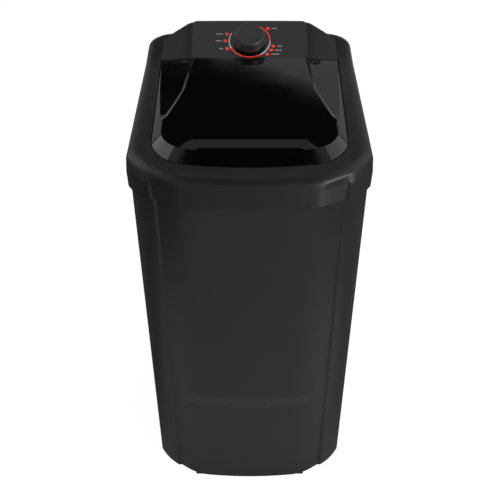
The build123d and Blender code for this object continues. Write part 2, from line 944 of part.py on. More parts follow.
def top_frame():
    shell = frame_loft(0) - (frame_loft(-frame_wall, skirt_bottom - 0.01) - above_rim(deck_thickness))
    shell = shell - prism(cabinet_points(cabinet_top, sheet_gap), plan_sags, 0, flange_top + sheet_gap)
    body = frame_loft(-frame_wall / 2)
    rib = frame_loft(-support_inset) - frame_loft(-support_inset - support_wall, skirt_bottom - 0.01)
    below_flange = block(-frame_back, frame_back, -frame_back, frame_back, 0, flange_top)
    bosses = [rod(frame_boss_radius, flange_top, crown_z, x, y) for x, y in frame_screw_places()]
    well = lid_frame * lid_prism(lid_gap + well_wall, -well_depth - well_wall, 10)
    collar = prism(
        mouth_points(collar_wall), corner_sags(mouth_corner + collar_wall),
        flange_z - collar_drop, crown_z,
    )
    divider = block(-wing_half, wing_half, seat_y - support_wall, seat_y, flange_top, panel_bottom)
    shell = shell + [
        rib - below_flange, well, panel_seat(), collar - above_rim(well_depth + well_wall / 2),
        divider & body,
    ] + bosses
    flat = [0] * 6
    shell = shell - [
        above_rim(),
        lid_frame * lid_prism(lid_gap, -well_depth, 30),
        prism(panel_footprint(panel_gap), flat, panel_bottom, crown_z),
        prism(panel_footprint(-2 * deck_thickness), flat, flange_top, crown_z),
        prism(mouth_points(), corner_sags(mouth_corner), 0, crown_z),
    ]
    shell = shell + [lid_frame * ear for ear in hinge_ears()]
    holes = [
        rod(frame_screw_radius, 0, flange_top + frame_screw_length, x, y)
        for x, y in frame_screw_places()
    ]
    for side in (-1, 1):
        front = panel_rear_y + panel_gap - 0.2
        holes.append(rod_y(frame_screw_head, front, frame_back + 1, side * panel_screw_x, panel_screw_z))
    return shell - holes


def frame_screws():
    screws = []
    for x, y in frame_screw_places():
        head = rod(frame_screw_head, flange_z - 3, flange_z, x, y)
        screws.append(head + rod(frame_screw_radius, flange_z, flange_top + frame_screw_length - 2, x, y))
    return Compound(screws)


# Control panel

def panel_section(x, drop, y_front, y_rear, z_front, z_rear, bottom):
    points = [(y_front, bottom), (y_front, z_front - drop), (y_rear, z_rear - drop), (y_rear, bottom)]
    return Wire(Polyline(*[(x, y, z) for y, z in points], close=True).edges())


def panel_form(wall=0.0):
    """Panel body: flat middle between two wings that fall to the rim."""
    rise = wall / math.cos(math.radians(panel_angle)) - wall * math.tan(math.radians(panel_angle))
    bottom = panel_bottom - (wall > 0)
    wires = []
    for side, outer in ((-1, True), (-1, False), (1, False), (1, True)):
        if outer:
            x = side * (wing_half - wall)
            wires.append(panel_section(
                x, rise, seat_y + wall, wing_rear_y - wall, wing_front_z, wing_rear_z, bottom,
            ))
        else:
            x = side * (panel_front_half + panel_rear_half) / 2
            wires.append(panel_section(
                x, rise, seat_y + wall, panel_rear_y - wall, panel_front_z, panel_rear_z, bottom,
            ))
    return Solid.make_loft(wires, True)


def fascia_solid(grow, bottom, top):
    """Glossy plate over the flat middle of the panel, in the dial's own plane."""
    front = -dial_from_edge + fascia_margin - grow
    rear = panel_slope_length - dial_from_edge - fascia_margin + grow
    inset = (panel_rear_half - panel_front_half) / 2 + fascia_margin
    middle = (panel_front_half + panel_rear_half) / 2
    right = [(middle - inset + grow, front), (middle - fascia_margin + grow, rear)]
    return prism(mirrored_outline(right), [0] * 4, bottom, top)


def control_panel():
    shell = panel_form() - panel_form(panel_wall)
    dish = dial_frame * fascia_solid(panel_gap / 2, -fascia_thickness, 10)
    backing = dial_frame * fascia_solid(panel_wall, -fascia_thickness - panel_wall, -fascia_thickness)
    shell = shell + (backing & panel_form()) - dish
    bush_hole = dial_frame * rod(timer_bush_radius + 0.1, -20, 10)
    shell = shell - bush_hole
    for side in (-1, 1):
        screw = dial_frame * rod(timer_screw_radius, -20, 10, side * timer_screw_circle)
        shell = shell - screw
        x = side * panel_screw_x
        front = panel_rear_y - 14
        boss = rod_y(5, front, panel_rear_y - panel_wall / 2, x, panel_screw_z)
        hole = rod_y(frame_screw_radius, front, panel_rear_y, x, panel_screw_z)
        shell = shell + boss - hole
    return shell


def panel_screws():
    screws = []
    for side in (-1, 1):
        x = side * panel_screw_x
        head = rod_y(frame_screw_head - 0.3, panel_rear_y, frame_back - 0.2, x, panel_screw_z)
        screws.append(head + rod_y(frame_screw_radius, panel_rear_y - 13, panel_rear_y, x, panel_screw_z))
    return Compound(screws)


def panel_fascia():
    plate = fascia_solid(0, -fascia_thickness, 0)
    plate = plate - rod(timer_bush_radius + 0.1, -20, 10)
    for side in (-1, 1):
        plate = plate - rod(timer_screw_radius, -20, 10, side * timer_screw_circle)
    return dial_frame * plate


def ring_sector(start, end):
    """Piece of the printed ring, angles clockwise from its top."""
    inner = ring_outer - ring_width
    points = []
    for radius in (inner, ring_outer):
        row = []
        for angle in (start, (start + end) / 2, end):
            a = math.radians(90 - angle)
            row.append((radius * math.cos(a), radius * math.sin(a), 0))
        points.append(row)
    edges = [
        Edge.make_three_point_arc(*points[0]),
        Edge.make_line(points[0][2], points[1][2]),
        Edge.make_three_point_arc(*reversed(points[1])),
        Edge.make_line(points[1][0], points[0][0]),
    ]
    face = Face(Wire(edges))
    return dial_frame * extrude(face, amount=print_height, dir=(0, 0, 1))


def dial_ring_white():
    return Compound([ring_sector(start, end) for start, end in ring_white_spans])


def dial_ring_red():
    return Compound([ring_sector(start, end) for start, end in ring_red_spans])


def dot_places():
    places = []
    for angle in dot_angles:
        a = math.radians(90 - angle)
        places.append((dot_circle * math.cos(a), dot_circle * math.sin(a)))
    return places


def indicator_dots():
    return Compound([dial_frame * rod(dot_radius, 0, print_height, x, y) for x, y in dot_places()])


def dial_marks():
    marks = []
    for x, y in dot_places():
        side = 1 if x > 0 else -1
        x0 = x + side * (dot_radius + 5)
        x1 = x0 + side * mark_length
        low, high = min(x0, x1), max(x0, x1)
        bar = block(low, high, y - mark_height / 2, y + mark_height / 2, 0, print_height)
        marks.append(dial_frame * bar)
    return Compound(marks)


# Timer and knob, in the dial's own plane

def knob():
    top = knob_lift + knob_height
    body = turned([
        (0, knob_lift), (knob_base_radius, knob_lift), (knob_base_radius, knob_lift + 3),
        (knob_top_radius, top - knob_bevel), (knob_top_radius - knob_bevel, top), (0, top),
    ])
    grip_x = knob_base_radius * 1.5 - knob_grip_depth
    for turn in (knob_grip_turn, knob_grip_turn + 180):
        flat = Rot(0, 0, turn) * Pos(grip_x, 0, top) * Rot(0, -knob_grip_tilt, 0) * Box(
            knob_base_radius, 3 * knob_base_radius, 2.6 * knob_height,
        )
        flat = flat & rod(2 * knob_base_radius, knob_lift + 5, 2 * top)
        body = body - flat
    ridge_radius = knob_top_radius - knob_ridge_inset
    ridge_outer = rod(ridge_radius, top, top + knob_ridge_height)
    ridge_cut = rod(ridge_radius, top - 1, top + 3, -knob_ridge_inset, knob_ridge_inset)
    body = body + (ridge_outer - ridge_cut)
    hollow = turned([
        (timer_shaft_radius + 5, knob_lift - 1), (knob_base_radius - knob_wall - 2, knob_lift - 1),
        (knob_top_radius - knob_wall - 8, top - 2 * knob_wall),
        (timer_shaft_radius + 5, top - 2 * knob_wall),
    ])
    socket = rod(timer_shaft_radius + running_gap, 0, timer_shaft_top + 1)
    return dial_frame * (body - hollow - socket)


def timer_shaft():
    shaft = rod(timer_shaft_radius, timer_top - timer_thickness + 4, timer_shaft_top)
    return dial_frame * chamfer(shaft.faces().sort_by(Axis.Z)[-1].edges(), 0.5)


def timer():
    case = block(
        -timer_width / 2, timer_width / 2, -timer_depth / 2, timer_depth / 2,
        timer_top - timer_thickness, timer_top,
    )
    case = fillet(case.edges().filter_by(Axis.Z), 6)
    bush = rod(timer_bush_radius, timer_top, 0.8)
    case = case + bush
    case = case - rod(timer_shaft_radius + running_gap, timer_top - timer_thickness + 3, 10)
    for side in (-1, 1):
        case = case - rod(timer_screw_radius - 0.2, timer_top - 12, 0, side * timer_screw_circle)
    base = timer_top - timer_thickness
    blades = [block(x - 1, x + 1, -4, 4, base - terminal_length, base) for x in (-15, -3, 9, 21)]
    case = case + blades
    return dial_frame * case


def timer_screws():
    screws = []
    for side in (-1, 1):
        x = side * timer_screw_circle
        screw = rod(timer_screw_radius - 0.2, timer_top - 10, 0, x) + rod(3.6, 0, 1.8, x)
        screws.append(dial_frame * screw)
    return Compound(screws)


# Tub

def tub_loft(grow, bottom, top):
    """Drafted tub body between two heights."""
    wires = []
    for z in (bottom, top):
        share = (z - tub_inside_z) / (flange_top - tub_inside_z)
        half = tub_bottom_half + (tub_top_half - tub_bottom_half) * share + grow
        front = tub_bottom_front + (tub_top_front - tub_bottom_front) * share - grow
        back = tub_bottom_back + (tub_top_back - tub_bottom_back) * share + grow
        points = rounded_box(-half, half, front, back, tub_corner + grow)
        wires.append(outline_wire(points, corner_sags(tub_corner + grow), z))
    return Solid.make_loft(wires, True)


def bracket_bolt_places():
    return [(s * bracket_bolt_x, y) for s in (-1, 1) for y in (bracket_bolt_front, bracket_bolt_back)]


def tub():
    shell = tub_loft(tub_wall, tub_floor_z, flange_top)
    flange = prism(cabinet_points(flange_z, -0.5), plan_sags, flange_z, flange_top)
    window = block(-bay_half, bay_half, bay_front, bay_back, 0, crown_z)
    shell = shell + (flange - window)
    shell = shell - tub_loft(0, tub_inside_z, flange_top + 1)
    for x, y in bracket_bolt_places():
        shell = shell + tub_boss(x, y)
    shell = shell + rod(hose_bore - 0.1, outlet_bottom, tub_floor_z, outlet_x, outlet_y)
    shell = shell - rod(hose_bore - 2.6, outlet_bottom - 1, tub_inside_z + 1, outlet_x, outlet_y)
    shell = shell - rod(housing_radius + running_gap, tub_floor_z - 1, tub_inside_z + 1, 0, shaft_y)
    shell = shell - rod_y(inlet_hose_bore, 100, nozzle_y + 20, inlet_x, nozzle_z)
    for x, y in frame_screw_places():
        shell = shell - rod(frame_screw_radius, 0, crown_z, x, y)
    return shell


def tub_boss(x, y):
    """Boss below the tub's floor that takes a bracket bolt."""
    boss = rod(9, bracket_z + bracket_thickness, tub_floor_z + 1, x, y)
    return boss - rod(bolt_radius, 0, tub_floor_z - 4, x, y)


def shaft_part(part):
    """Moves a part of the agitator train onto its axis."""
    return Pos(0, shaft_y, 0) * part


def bearing_housing():
    body = rod(housing_radius, housing_bottom, housing_top)
    body = body + rod(housing_flange, tub_floor_z - 6, tub_floor_z)
    for i in range(6):
        body = body + Rot(0, 0, 60 * i) * block(
            housing_radius - 1, housing_flange - 6, -2, 2, tub_floor_z - 40, tub_floor_z - 6,
        )
    body = body - rod(bush_radius + 2, 0, housing_top + 1)
    body = body + housing_seat(housing_bottom + 4) + housing_seat(housing_top - seal_height - bush_length)
    body = body - rod(shaft_radius + 2, 0, housing_top + 1)
    body = body - rod(bush_radius, housing_bottom + 4, housing_bottom + 4 + bush_length)
    top = housing_top - seal_height
    body = body - rod(bush_radius, top - bush_length, top)
    body = body - rod(seal_radius, top, housing_top + 1)
    return shaft_part(body)


def housing_seat(bottom):
    """Thicker stretch of the housing's bore that holds one bush."""
    return rod(bush_radius + 2.5, bottom - 4, bottom + bush_length)


def bush(bottom):
    ring = rod(bush_radius - 0.02, bottom, bottom + bush_length)
    return shaft_part(ring - rod(shaft_radius + running_gap, bottom - 1, bottom + bush_length + 1))


def shaft_bushes():
    return Compound([bush(housing_bottom + 4), bush(housing_top - seal_height - bush_length)])


def shaft_seal():
    ring = rod(seal_radius - 0.02, housing_top - seal_height, housing_top)
    return shaft_part(ring - rod(shaft_radius + seal_clearance, 0, housing_top + 1))


def ring_nut():
    ring = rod(nut_radius, tub_inside_z, tub_inside_z + nut_height)
    ring = ring - rod(housing_radius + 0.1, 0, housing_top)
    for i in range(8):
        ring = ring - Rot(0, 0, 45 * i) * block(nut_radius - 4, nut_radius + 2, -3, 3, 0, housing_top)
    return shaft_part(ring)


def agitator_shaft():
    shaft = rod(shaft_radius, shaft_bottom, socket_top)
    shaft = shaft - rod(bolt_radius, socket_top - agitator_screw_depth - 2, socket_top + 1)
    return shaft_part(chamfer(shaft.faces().sort_by(Axis.Z)[0].edges(), 1.0))


def agitator():
    edge_top = agitator_base + agitator_rim
    body = turned([
        (0, agitator_base), (agitator_radius, agitator_base), (agitator_radius, edge_top),
        (agitator_skirt_radius, agitator_base + agitator_skirt_rise),
        (agitator_neck_radius, agitator_base + agitator_neck_rise),
        (column_radius + 1, agitator_top - agitator_top_drop),
        (column_radius - agitator_top_inset, agitator_top), (0, agitator_top),
    ])
    blade_outline = [
        (blade_root, agitator_base + agitator_skirt_rise - agitator_rim),
        (agitator_radius - 4, edge_top - 1),
        (agitator_radius - agitator_rim - 1, edge_top + blade_tip_rise),
        (agitator_radius - blade_shoulder_inset, agitator_base + blade_shoulder_rise),
        (blade_waist_radius, agitator_base + blade_waist_rise),
        (blade_root, agitator_top - blade_root),
    ]
    face = make_face(Polyline(*[(x, 0, z) for x, z in blade_outline], close=True))
    blade = extrude(face, amount=blade_thickness / 2, dir=(0, 1, 0), both=True)
    for i in range(blade_count):
        body = body + Rot(0, 0, 45 + i * 360 / blade_count) * blade
    cavity = turned([
        (0, agitator_base - 1), (agitator_radius - agitator_wall, agitator_base - 1),
        (agitator_skirt_radius - 4, agitator_base + agitator_skirt_rise - agitator_gap),
        (nut_radius + 4, socket_bottom), (0, socket_bottom),
    ])
    body = body - cavity
    body = body - rod(shaft_radius + shaft_seat_gap, 0, socket_top)
    body = body - rod(bolt_radius + 0.1, 0, agitator_top + 1)
    body = body - rod(cap_plug_radius, agitator_head_bottom, agitator_top + 1)
    return shaft_part(body)


def agitator_screw():
    head_top = agitator_head_bottom + agitator_head_height
    screw = rod(bolt_radius, socket_top - agitator_screw_depth, agitator_head_bottom)
    screw = screw + rod(agitator_head_radius, agitator_head_bottom, head_top)
    slot = block(-agitator_head_radius, agitator_head_radius, -0.8, 0.8, head_top - 1.5, head_top + 1)
    return shaft_part(screw - slot)


def agitator_cap():
    plug = rod(cap_plug_radius - 0.1, agitator_top - cap_plug_depth, agitator_top)
    dome = turned([
        (0, agitator_top), (cap_radius, agitator_top), (cap_radius, agitator_top + cap_rise / 4),
        (cap_radius - 6, agitator_top + cap_rise - 2), (0, agitator_top + cap_rise),
    ])
    return shaft_part(plug + dome)


# Belt drive

def pulley(radius, bore):
    """Grooved wheel for the belt, about its own axis."""
    wheel = rod(radius, belt_z - pulley_width / 2, belt_z + pulley_width / 2)
    cut = rod(radius + 1, belt_low - belt_gap, belt_high + belt_gap)
    cut = cut - rod(radius - groove_depth, 0, 2 * belt_z)
    return wheel - cut - rod(bore, 0, 2 * belt_z)


def driven_pulley():
    wheel = pulley(driven_radius, shaft_radius + shaft_seat_gap)
    rim_inner = driven_radius - groove_depth - pulley_rim
    pocket = rod(rim_inner, 0, 2 * belt_z) - rod(pulley_hub_radius, 0, 2 * belt_z)
    web = rod(rim_inner + 1, belt_z - pulley_web / 2, belt_z + pulley_web / 2)
    wheel = wheel - (pocket - web)
    hole = Pos(pulley_hole_circle, 0, belt_z) * Cylinder(pulley_hole_radius, pulley_width)
    for i in range(pulley_hole_count):
        wheel = wheel - Rot(0, 0, 360 * i / pulley_hole_count) * hole
    return shaft_part(wheel)


def pulley_nut():
    top = belt_z - pulley_width / 2
    nut = extrude(Pos(0, 0, top - 9) * RegularPolygon(16, 6), amount=9)
    return shaft_part(nut - rod(shaft_radius + shaft_seat_gap, 0, belt_z))


def motor_part(part):
    """Moves a part of the motor onto its axis."""
    return Pos(0, motor_y, 0) * part


def motor_pulley():
    return motor_part(pulley(motor_pulley_radius, motor_shaft_radius + shaft_seat_gap))


def loop_solid(big, small, bottom, top):
    """Solid inside a tight loop around two circles, one on each axis."""
    distance = motor_y - shaft_y
    lean = math.asin((big - small) / distance)
    c, s = math.cos(lean), math.sin(lean)
    right_big = (big * c, shaft_y + big * s)
    right_small = (small * c, motor_y + small * s)
    points = [right_big, right_small, (-right_small[0], right_small[1]), (-right_big[0], right_big[1])]
    edges = [
        Edge.make_line((*points[0], bottom), (*points[1], bottom)),
        Edge.make_three_point_arc((*points[1], bottom), (0, motor_y + small, bottom), (*points[2], bottom)),
        Edge.make_line((*points[2], bottom), (*points[3], bottom)),
        Edge.make_three_point_arc((*points[3], bottom), (0, shaft_y - big, bottom), (*points[0], bottom)),
    ]
    return extrude(Face(Wire(edges)), amount=top - bottom, dir=(0, 0, 1))


def drive_belt():
    big = driven_radius - groove_depth + belt_gap
    small = motor_pulley_radius - groove_depth + belt_gap
    inside = loop_solid(big, small, belt_low - 1, belt_high + 1)
    return loop_solid(big + belt_thickness, small + belt_thickness, belt_low, belt_high) - inside


# Motor

def motor_bolt_places():
    return [(sx * motor_bolt_x, sy * motor_bolt_y) for sx in (-1, 1) for sy in (-1, 1)]


def motor_stator():
    stack = rod(motor_radius, stator_bottom, stator_top)
    for i in range(4):
        stack = stack - Rot(0, 0, 90 * i) * Pos(motor_radius + 5, 0, 0) * rod(9, 0, stator_top + 1)
    stack = stack - rod(rotor_radius + rotor_gap, 0, stator_top + 1)
    return motor_part(stack)


def motor_windings():
    rings = []
    for low in (stator_bottom - winding_height, stator_top):
        ring = rod(winding_outer, low, low + winding_height) - rod(winding_inner, 0, bracket_z)
        rings.append(motor_part(ring))
    return Compound(rings)


def bell(inner_end, outer_end):
    """End bell of the motor, a cup with a bearing seat."""
    low, high = min(inner_end, outer_end), max(inner_end, outer_end)
    up = 1 if outer_end > inner_end else -1
    cup = rod(motor_radius - 3, low, high)
    inner = outer_end - up * 4
    cup = cup - rod(motor_radius - 7, min(inner_end, inner) - (up > 0), max(inner_end, inner) + (up < 0))
    cup = cup + rod(16, min(outer_end, outer_end - up * 9), max(outer_end, outer_end - up * 9))
    for i in range(8):
        cup = cup - Rot(0, 0, 45 * i + 22.5) * Pos(38, 0, (low + high) / 2) * Box(18, 9, 3 * bell_height)
    return cup - rod(motor_shaft_radius + running_gap, low - 1, high + 1)


def motor_lower_bell():
    return motor_part(bell(stator_bottom, stator_bottom - bell_height))


def motor_upper_bell():
    cup = bell(stator_top, bell_top)
    for x, y in motor_bolt_places():
        lug = rod(lug_radius, lug_top - lug_height, lug_top, x, y)
        turn = math.degrees(math.atan2(y, x))
        reach = math.hypot(x, y)
        arm_end = reach - lug_radius + 4
        arm = Rot(0, 0, turn) * block(motor_radius - 12, arm_end, -6, 6, bell_top - 4, lug_top)
        cup = cup + lug + arm
    for x, y in motor_bolt_places():
        cup = cup - rod(bolt_radius + 0.1, 0, bracket_z, x, y)
    return motor_part(cup)


def motor_shaft():
    shaft = rod(motor_shaft_radius, belt_z - pulley_width / 2 - 6, bell_top - 2)
    core = rod(rotor_radius, stator_bottom + 3, stator_top - 3)
    return motor_part(shaft + core)


def motor_bracket():
    top = bracket_z + bracket_thickness
    plate = block(-bracket_half, bracket_half, bracket_front, bracket_back, bracket_z, top)
    plate = fillet(plate.edges().filter_by(Axis.Z), 12)
    plate = plate - rod(housing_flange + 6, 0, tub_floor_z, 0, shaft_y)
    plate = plate - rod(34, 0, tub_floor_z, 0, motor_y)
    for x, y in motor_bolt_places():
        plate = plate - rod(bolt_radius + 0.1, 0, tub_floor_z, x, motor_y + y)
    for x, y in bracket_bolt_places():
        plate = plate - rod(bolt_radius + 0.1, 0, tub_floor_z, x, y)
    for side in (-1, 1):
        x0, x1 = sorted((side * bracket_half, side * (bracket_half - 2.5)))
        flange = block(x0, x1, bracket_front + 12, bracket_back - 12, bracket_z - 18, bracket_z + 1)
        plate = plate + flange
    return plate


def bracket_bolts():
    bolts = []
    for x, y in bracket_bolt_places():
        head = rod(bolt_head, bracket_z - bolt_head_height, bracket_z, x, y)
        bolts.append(head + rod(bolt_radius - running_gap, bracket_z, tub_floor_z - 5, x, y))
    return Compound(bolts)


def motor_bolts():
    bolts = []
    top = bracket_z + bracket_thickness
    for x, y in motor_bolt_places():
        head = rod(bolt_head, top, top + bolt_head_height, x, y)
        bolts.append(motor_part(head + rod(bolt_radius - running_gap, lug_top - lug_height - 8, top, x, y)))
    return Compound(bolts)


def motor_nuts():
    nuts = []
    top = lug_top - lug_height
    for x, y in motor_bolt_places():
        nut = extrude(Pos(x, y, top - 5) * RegularPolygon(bolt_head, 6), amount=5)
        nuts.append(motor_part(nut - rod(bolt_radius, 0, bracket_z, x, y)))
    return Compound(nuts)


def motor_grommets():
    grommets = []
    for x, y in motor_bolt_places():
        ring = rod(grommet_radius, lug_top, bracket_z, x, y) - rod(bolt_radius, 0, 2 * bracket_z, x, y)
        grommets.append(motor_part(ring))
    return Compound(grommets)


def capacitor():
    can = rod(capacitor_radius, capacitor_top - capacitor_length, capacitor_top, capacitor_x, capacitor_y)
    can = fillet(can.faces().sort_by(Axis.Z)[0].edges(), 3)
    return can


def capacitor_clamp():
    middle = capacitor_top - capacitor_length / 2
    band = rod(capacitor_radius + clamp_wall, middle, middle + clamp_band, capacitor_x, capacitor_y)
    band = band - rod(capacitor_radius, 0, bracket_z, capacitor_x, capacitor_y)
    edge = -bracket_half + 2.5
    strap = block(edge, edge + 2, capacitor_y - 10, capacitor_y + 10, middle, bracket_z)
    front, back = capacitor_y - 10, capacitor_y + 10
    bridge = block(edge, capacitor_x - capacitor_radius, front, back, middle, middle + clamp_band)
    can = rod(capacitor_radius, 0, bracket_z, capacitor_x, capacitor_y)
    return band + (strap + bridge - can)


# Hoses, fittings and wiring

def tube(points, radii, radius):
    """Round solid along straight runs joined by arcs."""
    path = FilletPolyline(*points, radius=radii)
    start = Plane(origin=path @ 0, z_dir=path % 0)
    return sweep(start * Circle(radius), path=path)


def drain_hose():
    drop = outlet_bottom + 20
    points = [
        (outlet_x, outlet_y, drop), (outlet_x, outlet_y, drain_z + 60),
        (drain_x, outlet_y + 70, drain_z), (drain_x, drain_hose_end, drain_z),
    ]
    radii = [52.0, 60.0]
    return tube(points, radii, hose_radius) - tube(points, radii, hose_bore)


def ring_y(x, z, y0, y1, inner, outer):
    return rod_y(outer, y0, y1, x, z) - rod_y(inner, y0 - 1, y1 + 1, x, z)


def hose_clamps():
    top = outlet_bottom + 14
    upper = rod(hose_radius + clamp_wall, top - clamp_width, top, outlet_x, outlet_y)
    upper = upper - rod(hose_radius, 0, tub_floor_z, outlet_x, outlet_y)
    upper = upper + block(
        outlet_x - hose_radius - 9, outlet_x - hose_radius, outlet_y - 3, outlet_y + 3,
        top - clamp_width, top,
    )
    lower_y = drain_hose_end - 6
    lower = ring_y(drain_x, drain_z, lower_y - clamp_width, lower_y, hose_radius, hose_radius + clamp_wall)
    lower = lower + block(
        drain_x - 3, drain_x + 3, lower_y - clamp_width, lower_y,
        drain_z + hose_radius, drain_z + hose_radius + 9,
    )
    return Compound([upper, lower])


def drain_outlet():
    barb = rod_y(hose_bore - 0.1, drain_inner_y - barb_length, drain_inner_y, drain_x, drain_z)
    inner_flange = rod_y(drain_flange, drain_inner_y, service_cover_y, drain_x, drain_z)
    cover_outside = service_cover_y + cover_thickness
    neck = rod_y(drain_neck_radius, service_cover_y, cover_outside, drain_x, drain_z)
    spigot = rod_y(drain_radius, cover_outside, cover_outside + drain_length, drain_x, drain_z)
    bore = rod_y(drain_radius - drain_wall, 0, cabinet_back, drain_x, drain_z)
    return barb + inner_flange + neck + spigot - bore


def cord_gland():
    outer = service_cover_y + cover_thickness
    body = rod_y(gland_radius - running_gap, service_cover_y - 10, outer, gland_x, gland_z)
    collar = rod_y(gland_radius + 4, outer, outer + 5, gland_x, gland_z)
    nose = rod_y(gland_radius, outer + 5, outer + 16, gland_x, gland_z)
    nut = rod_y(gland_radius + 3, service_cover_y - 8, service_cover_y, gland_x, gland_z)
    return body + collar + nose + nut - rod_y(3.6, 0, cabinet_back, gland_x, gland_z)


def water_inlet():
    floor_y = cabinet_back - inlet_pocket_depth
    inner_y = floor_y - cabinet_wall
    flange = rod_y(inlet_radius + 4, floor_y, floor_y + 3, inlet_x, inlet_z)
    spigot = rod_y(inlet_radius, floor_y, floor_y + 3 + inlet_length, inlet_x, inlet_z)
    barb = rod_y(inlet_barb_radius - running_gap, inner_y - 22, floor_y, inlet_x, inlet_z)
    nut = rod_y(inlet_barb_radius + 5, inner_y - 4, inner_y, inlet_x, inlet_z)
    return flange + spigot + barb + nut - rod_y(5, 0, cabinet_back, inlet_x, inlet_z)


def inlet_hose():
    inner_y = cabinet_back - inlet_pocket_depth - cabinet_wall
    wall_y = nozzle_y + tub_wall + 3
    middle_y = (inner_y + wall_y) / 2
    points = [
        (inlet_x, inner_y - 5, inlet_z), (inlet_x, middle_y - 4, inlet_z),
        (inlet_x, middle_y - 8, nozzle_z), (inlet_x, wall_y, nozzle_z),
    ]
    radii = [21.0, 21.0]
    return tube(points, radii, inlet_hose_radius) - tube(points, radii, inlet_hose_bore)


def inlet_nozzle():
    wall_y = nozzle_y + tub_wall
    body = rod_y(inlet_hose_bore - running_gap, nozzle_y - 20, wall_y + 22, inlet_x, nozzle_z)
    flange = rod_y(inlet_hose_bore + 6, nozzle_y - 4, nozzle_y - 1, inlet_x, nozzle_z)
    outside = rod_y(inlet_hose_bore + 4, wall_y - 1, wall_y + 3, inlet_x, nozzle_z)
    flange = flange & tub_loft(0, tub_inside_z, flange_top)
    outside = outside - tub_loft(tub_wall, tub_floor_z, flange_top)
    return body + flange + outside - rod_y(5, 0, cabinet_back, inlet_x, nozzle_z)


def tub_back_at(z):
    """Depth of the tub's outer rear face at a height."""
    share = (z - tub_inside_z) / (flange_top - tub_inside_z)
    return tub_bottom_back + (tub_top_back - tub_bottom_back) * share + tub_wall


def wiring_lead():
    start_z = timer_top - timer_thickness - terminal_length - wire_radius
    terminal = (dial_frame * Pos(wire_x / 2, 0, start_z)).position
    away = wire_radius + 1.5
    motor_back = motor_y + motor_radius - 1.5
    points = [
        (wire_x / 2, terminal.Y, terminal.Z),
        (wire_x / 2, (bay_front + bay_back) / 2, flange_top + 45),
        (wire_x, tub_back_at(wire_top_z) + away, wire_top_z),
        (wire_x, tub_back_at(wire_bottom_z) + away, wire_bottom_z),
        (wire_x / 2, bracket_back + 13, bracket_z + 6),
        (wire_x / 2, motor_back, bell_top - 18),
    ]
    return tube(points, [90.0, 90.0, 70.0, 20.0], wire_radius)


def wiring_clips():
    clips = []
    away = wire_radius + 1.5
    for share in (0.15, 0.5, 0.85):
        z = wire_bottom_z + (wire_top_z - wire_bottom_z) * share
        back = tub_back_at(z)
        saddle = block(wire_x - 9, wire_x + 9, back - 4, back + away + wire_radius + 2, z - 6, z + 6)
        saddle = saddle - tub_loft(tub_wall, tub_floor_z, flange_top)
        saddle = saddle - block(
            wire_x - wire_radius - 0.2, wire_x + wire_radius + 0.2,
            back + away - wire_radius - 1.3, back + away + wire_radius + 0.6, z - 7, z + 7,
        )
        clips.append(saddle)
    return Compound(clips)


# Lint filter

def filter_rail():
    inner = filter_half + filter_gap
    front = filter_y - filter_gap
    back = filter_y + filter_thickness + filter_gap
    rails = None
    for side in (-1, 1):
        x0, x1 = sorted((side * (inner - rail_arm), side * (inner + rail_arm)))
        arm = block(x0, x1, front - 3, tub_top_back, filter_bottom - 6, filter_bottom + filter_height - 10)
        rails = arm if rails is None else rails + arm
    cross = block(-inner, inner, back, tub_top_back, filter_bottom - 6, filter_bottom + 14)
    shelf = block(-inner, inner, front - 3, tub_top_back, filter_bottom - 6, filter_bottom - filter_gap)
    rails = rails + cross + shelf
    rails = rails - block(-inner, inner, front, back, filter_bottom - filter_gap, flange_top)
    return rails & tub_loft(0, tub_inside_z, flange_top)


def filter_frame():
    frame = block(
        -filter_half, filter_half, filter_y, filter_y + filter_thickness,
        filter_bottom, filter_bottom + filter_height,
    )
    frame = frame - block(
        -filter_half + filter_bar, filter_half - filter_bar, 0, flange_top,
        filter_bottom + filter_bar, filter_bottom + filter_height - 2 * filter_bar,
    )
    tab = block(-18, 18, filter_y, filter_y + filter_thickness, filter_bottom + filter_height - 1,
                filter_bottom + filter_height + 10)
    return frame + fillet(tab.edges().filter_by(Axis.Y), 4)


def filter_mesh():
    half = filter_half - filter_bar
    low = filter_bottom + filter_bar
    high = filter_bottom + filter_height - 2 * filter_bar
    middle = filter_y + filter_thickness / 2
    sheet = block(-half, half, middle - 0.6, middle + 0.6, low, high)
    columns = int((2 * half - 4) / mesh_pitch)
    rows = int((high - low - 4) / mesh_pitch)
    holes = []
    for i in range(columns):
        for j in range(rows):
            x = (i - (columns - 1) / 2) * mesh_pitch
            z = (low + high) / 2 + (j - (rows - 1) / 2) * mesh_pitch
            holes.append(Pos(x, middle, z) * Box(mesh_hole, 4, mesh_hole))
    return sheet - holes


# Every sub-part by name
builders = [
    cabinet, badge_plate, base_cover, base_screws, rubber_feet, back_cover, back_cover_screws,
    top_frame, frame_screws, lid, hinge_pins, lid_buffers,
    control_panel, panel_screws, panel_fascia, dial_ring_white, dial_ring_red, indicator_dots, dial_marks,
    knob, timer_shaft, timer, timer_screws,
    tub, bearing_housing, shaft_bushes, shaft_seal, ring_nut,
    agitator_shaft, agitator, agitator_screw, agitator_cap,
    driven_pulley, pulley_nut, drive_belt, motor_pulley, motor_shaft,
    motor_stator, motor_windings, motor_lower_bell, motor_upper_bell,
    motor_bracket, bracket_bolts, motor_bolts, motor_nuts, motor_grommets, capacitor, capacitor_clamp,
    drain_hose, hose_clamps, drain_outlet, cord_gland, water_inlet, inlet_hose, inlet_nozzle,
    wiring_lead, wiring_clips,
    filter_rail, filter_frame, filter_mesh,
]

for builder in builders:
    export_step(builder(), f"parts/{builder.__name__}.step")
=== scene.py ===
"""A black semi-automatic washing machine: finishes, moulded shells, studio floor, light and camera."""

import json
import math

import bmesh
import bpy
from mathutils import Matrix, Vector


